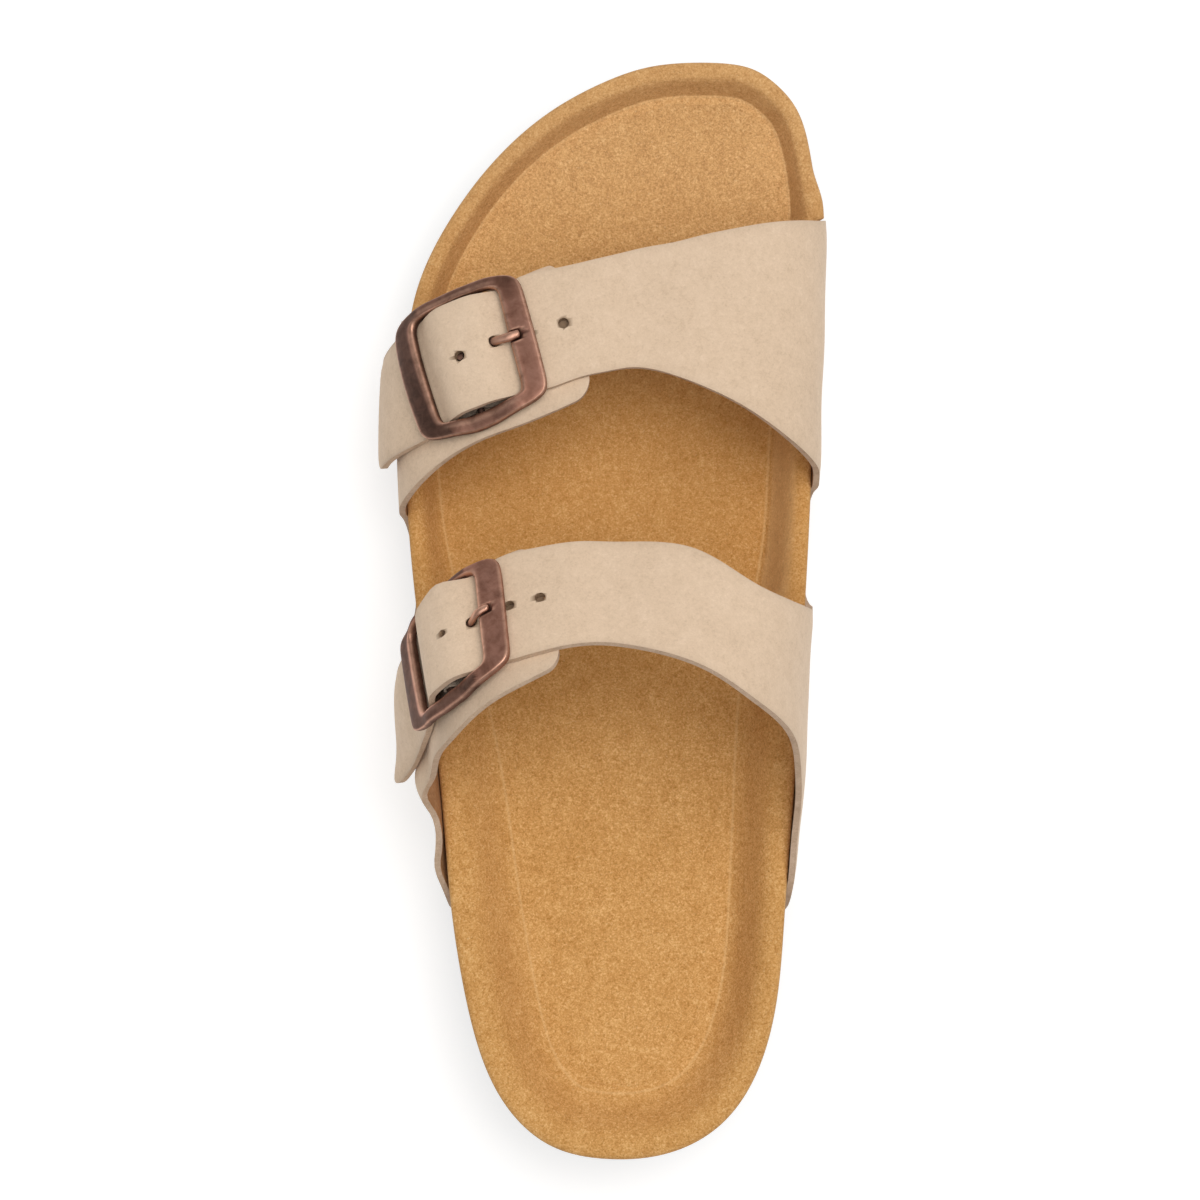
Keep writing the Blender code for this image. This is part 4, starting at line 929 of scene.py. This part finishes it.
def panel(name, band, front, rear, seats, holes, cols, gap_cols, step, corners, node, dark=()):
    """One cut sheet: a low band that forks into two straps."""
    points, masks, faces, grid, grid_m = [], [], [], [], []
    notch = [float(front.cols[1](0)), float(front.cols[3](0)), float(rear.cols[1](0)), float(rear.cols[3](0))]
    turn = float(front.cols[0](0))
    y0 = np.concatenate([np.linspace(notch[0], notch[1], cols + 1),
                         np.linspace(notch[1], notch[2], gap_cols + 1)[1:],
                         np.linspace(notch[2], notch[3], cols + 1)[1:]])
    fine = [(band[0][0] + (turn - band[0][0]) * w,
             np.interp(w, [0, 0.5, 1], [band[0][1], band[1][1], notch[0]]),
             np.interp(w, [0, 0.5, 1], [band[0][2], band[1][2], notch[3]]))
            for w in np.linspace(0, 1, 8)[:-1]]
    for k, (deg, yf, yr) in enumerate(fine):
        y = yr + (y0 - notch[3]) * (yf - yr) / (notch[0] - notch[3])
        grid.append(off_last(np.full_like(y, deg), y, flare(deg, y, WING)))
        end = np.minimum(y - y.min(), y.max() - y)
        grid_m.append(np.stack([np.exp(-end / 1.2), 0 * y, 0 * y], -1))

    def strap_grid(strap, seat, punched, corner):
        out, out_m = [], []
        total = strap.run[-1]
        for u in strap_rows(strap, step, corner):
            d = min(total - u, corner)
            inset = corner - math.sqrt(max(corner ** 2 - (corner - d) ** 2, 0.0))
            across = np.linspace(1, -1, cols + 1) * (1 - inset / STRAP_HALF_WIDE)
            deg, y = seat.fold(u, across) if seat else strap.place(strap.row_at(u), across)
            lift = flare(deg, y, TAIL_WING if seat else WING) + (seat.tail_bow(u, across) if seat else 0.0)
            half = 0.5 * float(np.linalg.norm(last_at(deg[0], y[0]) - last_at(deg[-1], y[-1])))
            side = np.minimum(1 - across, 1 + across) * half
            fold = np.zeros_like(y)
            grown = ease(6.0, 30.0, u)
            if seat is not None:
                before = seat.bar_length - u
                lift = lift + float(strap_lift(before))
                for h in punched + (7.2,):
                    gap = np.sqrt((before - h) ** 2 + (across * STRAP_HALF_WIDE) ** 2)
                    lift = lift - 0.22 * np.exp(-(gap / 2.0) ** 2)
                # the free stretch between rim and buckle is not quite even
                free = float(ease(20, 60, before) * ease(4.0, 30.0, u))
                lift = lift + free * 0.35 * soft_waves(deg * 0.9, y, 5, 34.0)
                # painted highlight on the top of the hump over the bar, carried in the fold mask
                fold = fold + math.exp(-(before / 4.5) ** 2) * 0.8
                # edges of the strap turn down a little where nothing holds them
                loose = float(ease(10, 22, abs(before)))
            else:
                loose = 0.6 * float(ease(total - 30, total - 8, u))
            lift = lift - 0.35 * grown * loose * np.exp(-(side / 2.2) ** 2) * (0 if seat is None else 1)
            out.append(off_last(deg, y, lift))
            tip = np.exp(-(total - u) / 1.2)
            edge = np.maximum(np.exp(-side / 0.9), tip)
            # along the tail the edge band is darker still: the leather's edge tone, deepened as painted shade for the
            # shadow line under the tail
            if seat is not None:
                edge = edge * (1 + 1.2 * float(ease(14.0, 22.0, -before)))
            # painted shade on the short strap under the free holes
            spot = np.zeros_like(y)
            for place in dark:
                away = np.linalg.norm(out[-1] - place, axis=1)
                spot = np.maximum(spot, 1 - ease(2.2, 4.2, away))
            out_m.append(np.stack([edge, fold, spot], -1))
        return out, out_m

    grid_f, mask_f = strap_grid(front, seats[0], holes[0], corners[0])
    grid_r, mask_r = strap_grid(rear, seats[1], holes[1], corners[1])
    y_gap = np.linspace(notch[1], notch[2], gap_cols + 1)[1:-1]
    grid.append(np.concatenate([grid_f[0], off_last(np.full_like(y_gap, turn), y_gap, np.zeros_like(y_gap)), grid_r[0]]))
    grid_m.append(np.concatenate([mask_f[0], np.tile([[1.0, 0, 0]], (len(y_gap), 1)), mask_r[0]]))
    width = 2 * cols + gap_cols + 1
    for row, m in zip(grid, grid_m):
        points += list(row)
        masks += list(m)
    ids = [[r * width + c for c in range(width)] for r in range(len(grid))]

    def sheet(rows):
        for a, b in zip(rows[:-1], rows[1:]):
            for c in range(len(a) - 1):
                faces.append((a[c], b[c], b[c + 1], a[c + 1]))

    sheet(ids)
    for rows_p, rows_m, first in ((grid_f, mask_f, ids[-1][:cols + 1]), (grid_r, mask_r, ids[-1][cols + gap_cols:])):
        rows = [first]
        for row, m in zip(rows_p[1:], rows_m[1:]):
            rows.append(list(range(len(points), len(points) + len(row))))
            points += list(row)
            masks += list(m)
        sheet(rows)
    if band[0][0] > 90:
        faces = [f[::-1] for f in faces]
    me = mesh_from(name, np.array(points), faces, np.array(masks), 50)
    ob = piece(name, me, [NUBUCK, LINING, CUT_EDGE, HOLE], node)
    wall = ob.modifiers.new("wall", 'SOLIDIFY')
    wall.thickness, wall.offset = STRAP_T * MM, 1.0
    wall.material_offset, wall.material_offset_rim = 1, 2
    wall.use_even_offset = False
    soft = ob.modifiers.new("edge", 'BEVEL')
    soft.width, soft.segments = 0.5 * MM, 3
    soft.limit_method, soft.angle_limit = 'ANGLE', math.radians(55)
    soft.harden_normals = False
    return ob


# ---------------------------------------------------------- tubes and cutters
def tube(path, wide, thick, place, sides=20, scale=None, caps=True):
    """Tube of elliptic section along a path of (before, height); across is
    the second axis of the section."""
    path = np.asarray(path, float)
    n = len(path)
    d = np.gradient(path, axis=0)
    d /= np.linalg.norm(d, axis=1, keepdims=True)
    nrm = np.stack([-d[:, 1], d[:, 0]], -1)
    a = np.arange(sides) * 2 * math.pi / sides
    scale = np.ones(n) if scale is None else scale
    pts = []
    for i in range(n):
        b = path[i, 0] + nrm[i, 0] * thick * scale[i] * np.sin(a)
        h = path[i, 1] + nrm[i, 1] * thick * scale[i] * np.sin(a)
        pts.append(place(b, wide * scale[i] * np.cos(a), h))
    faces = [(i * sides + j, i * sides + (j + 1) % sides, (i + 1) * sides + (j + 1) % sides, (i + 1) * sides + j)
             for i in range(n - 1) for j in range(sides)]
    if caps:
        faces += [tuple(range(sides))[::-1], tuple(range((n - 1) * sides, n * sides))]
    return np.concatenate(pts), faces


def smooth_path(points, per=8):
    p = np.asarray(points, float)
    run = np.concatenate([[0], np.cumsum(np.linalg.norm(np.diff(p, axis=0), axis=1))])
    t = np.linspace(0, run[-1], per * (len(p) - 1) + 1)
    return np.stack([curve_through(run, p[:, 0])(t), curve_through(run, p[:, 1])(t)], -1)


#   before, height
PRONG = {"front": ((4.4, 2.3), (6.2, 3.5), (8.2, 4.33), (10.4, 4.66), (11.9, 4.66), (12.4, 4.6)),
         "rear": ((5.0, 1.6), (7.2, 2.3), (9.0, 3.6), (10.5, 4.55), (11.9, 4.66), (12.4, 4.6))}


def prong_path(tag):
    turns = np.radians(np.linspace(150, 288, 8))
    path = [(PRONG_LOOP_R * math.cos(a), CENTRE_BAR_H + PRONG_LOOP_R * math.sin(a)) for a in turns]
    return smooth_path(path + list(PRONG[tag]))


def cutter(name, points, faces, material):
    me = mesh_from(name, points, faces)
    face_out(me)
    me.materials.append(material)
    return me


def hole_place(seat, before, height):
    deg, y = seat.fold(seat.bar_length - before, 0.0)
    return off_last(deg, y, float(strap_lift(before)) + height)


def hole_cutters(tag, seat, holes):
    """Cutters for one strap: its punched holes and the way of the prong."""
    out = []
    for k, before in enumerate(holes):
        lo, hi = hole_place(seat, before, -1.8), hole_place(seat, before, STRAP_T + 1.8)
        axis = (hi - lo) / np.linalg.norm(hi - lo)
        side = np.cross(axis, (0.0, 1.0, 0.0))
        side /= np.linalg.norm(side)
        other = np.cross(axis, side)
        a = np.arange(28) * 2 * math.pi / 28
        ring = (0.85 if 0 < before < 8 else HOLE_R) * (np.cos(a)[:, None] * side + np.sin(a)[:, None] * other)
        pts = np.concatenate([lo + ring, hi + ring])
        faces = [(j, (j + 1) % 28, 28 + (j + 1) % 28, 28 + j) for j in range(28)]
        faces += [tuple(range(28))[::-1], tuple(range(28, 56))]
        out.append(cutter("hole_%s_%d" % (tag, k), pts, faces, HOLE))
    way = prong_path(tag)
    way = way[(way[:, 0] > 3.0) & (way[:, 0] < 9.9) & (way[:, 1] > 1.0)]
    pts, faces = tube(way, 1.3, 1.12, seat.by_prong, 24)
    out.append(cutter("way_" + tag, pts, faces, HOLE))
    return out


upper_medial = panel("upper_medial_nubuck", BAND_MEDIAL, long_front, long_rear, (seat_front, seat_rear),
                     (HOLES_FRONT, HOLES_REAR), 42, 4, 1.35, (6.0, 6.0), "upper_medial")
# painted shade on the short straps, which lie in the dark under the free holes
shaded = [hole_place(seat, b, -GAP) for seat, holes in ((seat_front, HOLES_FRONT), (seat_rear, HOLES_REAR))
          for b in holes[1:]]
upper_lateral = panel("upper_lateral_nubuck", BAND_LATERAL, short_front, short_rear, (None, None),
                      ((), ()), 36, 4, 1.5, (4.0, 4.0), "upper_lateral", shaded)

cutter_meshes = hole_cutters("front", seat_front, HOLES_FRONT) + hole_cutters("rear", seat_rear, HOLES_REAR)


def cut_holes(ob, meshes):
    """Punches the holes for good, so no cutter stays in the scene."""
    graph = bpy.context.evaluated_depsgraph_get()
    group = bpy.data.collections.new("punches")
    bpy.context.scene.collection.children.link(group)
    made = []
    for me in meshes:
        o = bpy.data.objects.new(me.name, me)
        group.objects.link(o)
        made.append(o)
    mod = ob.modifiers.new("holes", 'BOOLEAN')
    mod.operation, mod.solver = 'DIFFERENCE', 'EXACT'
    mod.operand_type, mod.collection = 'COLLECTION', group
    mod.material_mode = 'TRANSFER'
    graph.update()
    me = bpy.data.meshes.new_from_object(ob.evaluated_get(graph), depsgraph=graph)
    ob.modifiers.clear()
    old = ob.data
    ob.data = me
    me.set_sharp_from_angle(angle=math.radians(50))
    ob.modifiers.new("even_normals", 'WEIGHTED_NORMAL').keep_sharp = True
    bpy.data.meshes.remove(old)
    for o in made:
        bpy.data.objects.remove(o, do_unlink=True)
    bpy.data.collections.remove(group)


cut_holes(upper_medial, cutter_meshes)


# ------------------------------------------------------------------- buckles
def barrel(turn, bows, half_long, long_bow, front_wide, rear_wide, square):
    """Outline with bowed bars and sides and rounded corners at 45 degrees."""
    c, s = np.cos(turn), np.sin(turn)
    k = (np.abs(c) ** square + np.abs(s) ** square) ** (-1 / square)
    return np.stack([c * k * (half_long + long_bow * (1 - (s * k) ** 2)),
                     s * k * (np.where(s > 0, front_wide, rear_wide) + np.where(s > 0, *bows) * (1 - (c * k) ** 2))], -1)


# section of the frame: share from opening to outside, share of the thickness,
# how worn it is (rubbed copper, brightened as painted highlight), how aged it is
FRAME_SECTION = (
    (0.09, 0.00, 0.0, 0.9), (0.03, 0.10, 0.0, 0.9), (0.0, 0.28, 0.0, 1.0), (0.0, 0.52, 0.0, 0.9), (0.012, 0.70, 0.35, 0.45),
    (0.035, 0.85, 1.0, 0.0), (0.07, 0.94, 1.0, 0.0), (0.115, 0.99, 0.8, 0.0), (0.17, 1.0, 0.35, 0.1), (0.22, 0.985, 0.05, 0.3),
    (0.28, 0.965, 0.0, 0.5), (0.42, 0.95, 0.0, 0.6), (0.58, 0.93, 0.0, 0.65), (0.74, 0.905, 0.0, 0.65), (0.86, 0.875, 0.1, 0.55),
    (0.92, 0.845, 0.6, 0.3), (0.955, 0.79, 0.9, 0.2), (0.98, 0.70, 0.6, 0.5), (0.993, 0.54, 0.2, 0.8), (1.0, 0.34, 0.05, 1.0),
    (0.985, 0.12, 0.0, 1.0), (0.93, 0.0, 0.0, 1.0),
)


def frame_mesh(name, seat, rub_and_painted_highlight):
    fine = np.linspace(0, 2 * math.pi, 12001)
    mid = (barrel(fine, seat.opening_bows, *FRAME_OPENING) + barrel(fine, seat.outside_bows, *FRAME_OUTSIDE)) / 2
    run = np.concatenate([[0], np.cumsum(np.linalg.norm(np.diff(mid, axis=0), axis=1))])
    total, home = run[-1], float(seat.prong_line(12.0))
    marks = list(np.linspace(0, total, 281)[:-1])
    marks += list((home + np.linspace(-2.2, 2.2, 37)) % total)
    marks = np.array(sorted(set(np.round(marks, 3))))
    turn = np.interp(marks, run, fine)
    inner = barrel(turn, seat.opening_bows, *FRAME_OPENING)
    outer = barrel(turn, seat.outside_bows, *FRAME_OUTSIDE)
    sec = np.array(FRAME_SECTION)
    k, n = len(sec), len(turn)
    uv = inner[:, None, :] + (outer - inner)[:, None, :] * sec[None, :, :1]
    u, v = uv[..., 0], uv[..., 1]
    low = SIDE_LOW + (BAR_LOW - SIDE_LOW) * ease(2.0, FRAME_OPENING[0] - 1.5, np.abs(u))
    low = low + seat.tip * ease(FRAME_OPENING[0], FRAME_OUTSIDE[0], -u)
    at_side = ease(11.5, 13.4, np.abs(v)) * (1 - ease(6.0, 11.0, np.abs(u)))
    crown = np.sin(math.pi * np.clip(sec[None, :, 0], 0, 1)) * (sec[None, :, 1] > 0.8)
    h = low + BAR_T * sec[None, :, 1] + 0.32 * at_side * crown
    wear_and_painted_light = np.broadcast_to(sec[None, :, 2], h.shape).copy()
    patina_and_painted_shade = np.broadcast_to(sec[None, :, 3], h.shape).copy()
    # darker patina on the end bar away from the foot, deepened as painted shade where it faces away from the light; the
    # other end bar is lighter, and between them the patina is thinner the more the frame is rubbed
    patina_and_painted_shade = np.clip(patina_and_painted_shade * np.where(u < -8.0, 1.9, np.where(u > 8.0, 0.45, 1.8 - 1.35 * rub_and_painted_highlight)), 0, 1)
    # bands along the frame's sides: rubbed copper, brightened as painted highlight where the rounded sides catch the
    # light
    wear_and_painted_light = np.maximum(wear_and_painted_light, rub_and_painted_highlight * at_side * np.exp(-((sec[None, :, 0] - 0.36) / 0.16) ** 2) * (sec[None, :, 1] > 0.8))
    painted_recess_shade = np.zeros_like(h)
    # seat for the prong's tip in the inner end bar
    reach = np.hypot(v - seat.prong_line(u), np.maximum(0, u - 12.45)) + 100 * (u < 8)
    hollow = 1.32
    dip = 4.45 - np.sqrt(np.maximum(hollow ** 2 - reach ** 2, 0.0))
    hit = (reach < hollow) & (sec[None, :, 1] > 0.5)
    h = np.where(hit, np.minimum(h, dip), h)
    # painted shade in the prong's hollow; the ring round it is rubbed copper brightened as painted highlight
    painted_recess_shade = np.where(hit, 0.9 * ease(hollow, hollow - 0.5, reach), painted_recess_shade)
    ridge = np.exp(-((reach - hollow - 0.22) / 0.22) ** 2) * (u > 8) * (sec[None, :, 1] > 0.8)
    wear_and_painted_light = np.where(hit, 0.0, np.maximum(wear_and_painted_light, 0.7 * ridge))
    points = seat.at(u, v, h).reshape(-1, 3)
    faces = [(i * k + j, i * k + (j + 1) % k, (i + 1) % n * k + (j + 1) % k, (i + 1) % n * k + j)
             for i in range(n) for j in range(k)]
    masks = np.stack([wear_and_painted_light.ravel(), painted_recess_shade.ravel(), patina_and_painted_shade.ravel()], -1)
    # centre bar, let into the frame's sides
    ends = [FRAME_OPENING[2 + i] + seat.opening_bows[i] + 0.9 for i in (0, 1)]
    vv, sides = np.linspace(-ends[1], ends[0], 25), 20
    a = np.arange(sides) * 2 * math.pi / sides
    bar = np.concatenate([seat.at(CENTRE_BAR_R * np.cos(a), np.full(sides, v1), CENTRE_BAR_H + CENTRE_BAR_R * np.sin(a))
                          for v1 in vv])
    off = len(points)
    faces += [(off + i * sides + j, off + i * sides + (j + 1) % sides,
               off + (i + 1) * sides + (j + 1) % sides, off + (i + 1) * sides + j)
              for i in range(len(vv) - 1) for j in range(sides)]
    faces += [tuple(off + j for j in range(sides))[::-1],
              tuple(off + (len(vv) - 1) * sides + j for j in range(sides))]
    # the centre bar is painted dark, as painted shade inside the frame
    masks = np.concatenate([masks, np.tile([[0.0, 0.85, 1.0]], (len(bar), 1))])
    me = mesh_from(name, np.concatenate([points, bar]), faces, masks, 60)
    face_out(me)
    return me


def prong_mesh(name, tag, seat):
    path = prong_path(tag)
    n = len(path)
    left = np.arange(n)[::-1] / (n - 1)
    scale = 0.92 + 0.08 * ease(0.0, 0.10, left) + 0.10 * np.exp(-((left - 0.12) / 0.07) ** 2)
    cap = np.array([0.93, 0.7, 0.35]) * scale[-1]
    ahead = path[-1] - path[-2]
    ahead /= np.linalg.norm(ahead)
    path = np.concatenate([path, [path[-1] + ahead * e for e in (0.22, 0.42, 0.52)]])
    scale = np.concatenate([scale, cap])
    pts, faces = tube(path, 0.95, 0.72, seat.by_prong, 24, scale)
    # painted highlight along the wire's upper side over a little rubbed copper, and painted shade at its root where it
    # enters the strap's hole
    wear_and_painted_light = np.tile(0.25 + 0.75 * np.clip(np.sin(np.arange(24) * 2 * math.pi / 24), 0, 1), len(path))
    painted_recess_shade = np.repeat(0.6 * (1 - ease(5.0, 8.5, path[:, 0])), 24)
    me = mesh_from(name, pts, faces, np.stack([wear_and_painted_light, painted_recess_shade, 0 * wear_and_painted_light], -1), 60)
    face_out(me)
    return me


def keeper_mesh(name, seat):
    """Strip over the centre bar, slit for the prong, feet on the short strap."""
    lap = CENTRE_BAR_R + 0.2
    turns = np.radians(np.linspace(180, 0, 13))
    path = [(-6.5, GAP), (-5.0, GAP + 0.02), (-3.4, GAP + 0.15), (-2.2, 0.75), (-lap - 0.35, 1.3), (-lap - 0.08, 1.9)]
    path += [(lap * math.cos(a), CENTRE_BAR_H + lap * math.sin(a)) for a in turns]
    path += [(lap + 0.08, 1.9), (lap + 0.35, 1.3), (2.2, 0.75), (3.4, GAP + 0.15), (4.6, GAP + 0.02), (5.6, GAP)]
    slit = float(seat.prong_line(0.0))
    lanes = np.concatenate([np.linspace(KEEPER_HALF, slit + KEEPER_SLOT, 8), np.linspace(slit - KEEPER_SLOT, -KEEPER_HALF, 8)])
    pts = np.concatenate([seat.at(np.full(len(lanes), b), lanes, np.full(len(lanes), h)) for b, h in path])
    n, faces = len(lanes), []
    for i in range(len(path) - 1):
        for j in range(n - 1):
            if j == 7 and i >= 2:
                continue
            faces.append((i * n + j + 1, (i + 1) * n + j + 1, (i + 1) * n + j, i * n + j)[::1])
    return mesh_from(name, pts, faces, None, 60)


for tag, seat in (("front", seat_front), ("rear", seat_rear)):
    piece("buckle_%s_cast" % tag, frame_mesh("buckle_%s_cast" % tag, seat, 0.75 if tag == "front" else 0.05), [COPPER[tag]], "buckle_" + tag)
    piece("prong_%s_wire" % tag, prong_mesh("prong_%s_wire" % tag, tag, seat), [WIRE], "prong_" + tag)
    strip = piece("keeper_%s_strip" % tag, keeper_mesh("keeper_%s_strip" % tag, seat), [STRIP], "keeper_" + tag)
    wall = strip.modifiers.new("wall", 'SOLIDIFY')
    wall.thickness, wall.offset = KEEPER_T * MM, 1.0


# ----------------------------------------------------- floor, light, camera
def floor_material():
    m = Nodes("studio_floor")
    faint = m.noise(3.0, 2.0, 0.5)
    color = m.ramp(faint, [(0.3, (0.55, 0.55, 0.55)), (0.7, (0.57, 0.57, 0.57))])
    m.shader.inputs["Emission Color"].default_value = (1.0, 1.0, 1.0, 1.0)
    m.shader.inputs["Emission Strength"].default_value = 0.60
    return m.done(color, 0.9, specular=0.0)


floor_mesh = bpy.data.meshes.new("floor")
floor_mesh.from_pydata([(-6, -6, 0), (6, -6, 0), (6, 6, 0), (-6, 6, 0)], [], [(0, 1, 2, 3)])
floor_mesh.materials.append(floor_material())
floor = bpy.data.objects.new("floor", floor_mesh)
floor.location.z = -0.0002
bpy.context.scene.collection.objects.link(floor)

world = bpy.data.worlds.new("studio")
world.use_nodes = True
world.node_tree.nodes["Background"].inputs["Color"].default_value = (1.0, 0.99, 0.975, 1.0)
world.node_tree.nodes["Background"].inputs["Strength"].default_value = 0.335
bpy.context.scene.world = world


def area_light(name, place, aim, size, watts, color=(1.0, 1.0, 1.0)):
    data = bpy.data.lights.new(name, 'AREA')
    data.shape, data.size, data.size_y = 'RECTANGLE', size[0], size[1]
    data.energy, data.color = watts, color
    ob = bpy.data.objects.new(name, data)
    ob.location = place
    ob.rotation_euler = (Vector(aim) - Vector(place)).to_track_quat('-Z', 'Y').to_euler()
    bpy.context.scene.collection.objects.link(ob)
    return ob


area_light("key_softbox", (0.45, 0.50, 1.6), (0.0, 0.0, 0.03), (1.1, 1.1), 14.0, (1.0, 0.985, 0.96))
area_light("top_softbox", (-0.1, -0.1, 1.9), (0.0, 0.0, 0.03), (1.6, 1.6), 12.0)

camera = bpy.data.objects.new("camera", bpy.data.cameras.new("camera"))
camera.data.sensor_width = 36.0
camera.data.lens = 172.0
camera.data.clip_start, camera.data.clip_end = 0.05, 50.0
camera.location = (SHIFT_X * MM, (2.386 + SHIFT_Y) * MM, 1.4)
camera.rotation_euler = (0.0, 0.0, 0.0)
bpy.context.scene.collection.objects.link(camera)
bpy.context.scene.camera = camera
bpy.context.scene.view_settings.view_transform = 'Standard'
bpy.context.scene.view_settings.look = 'None'
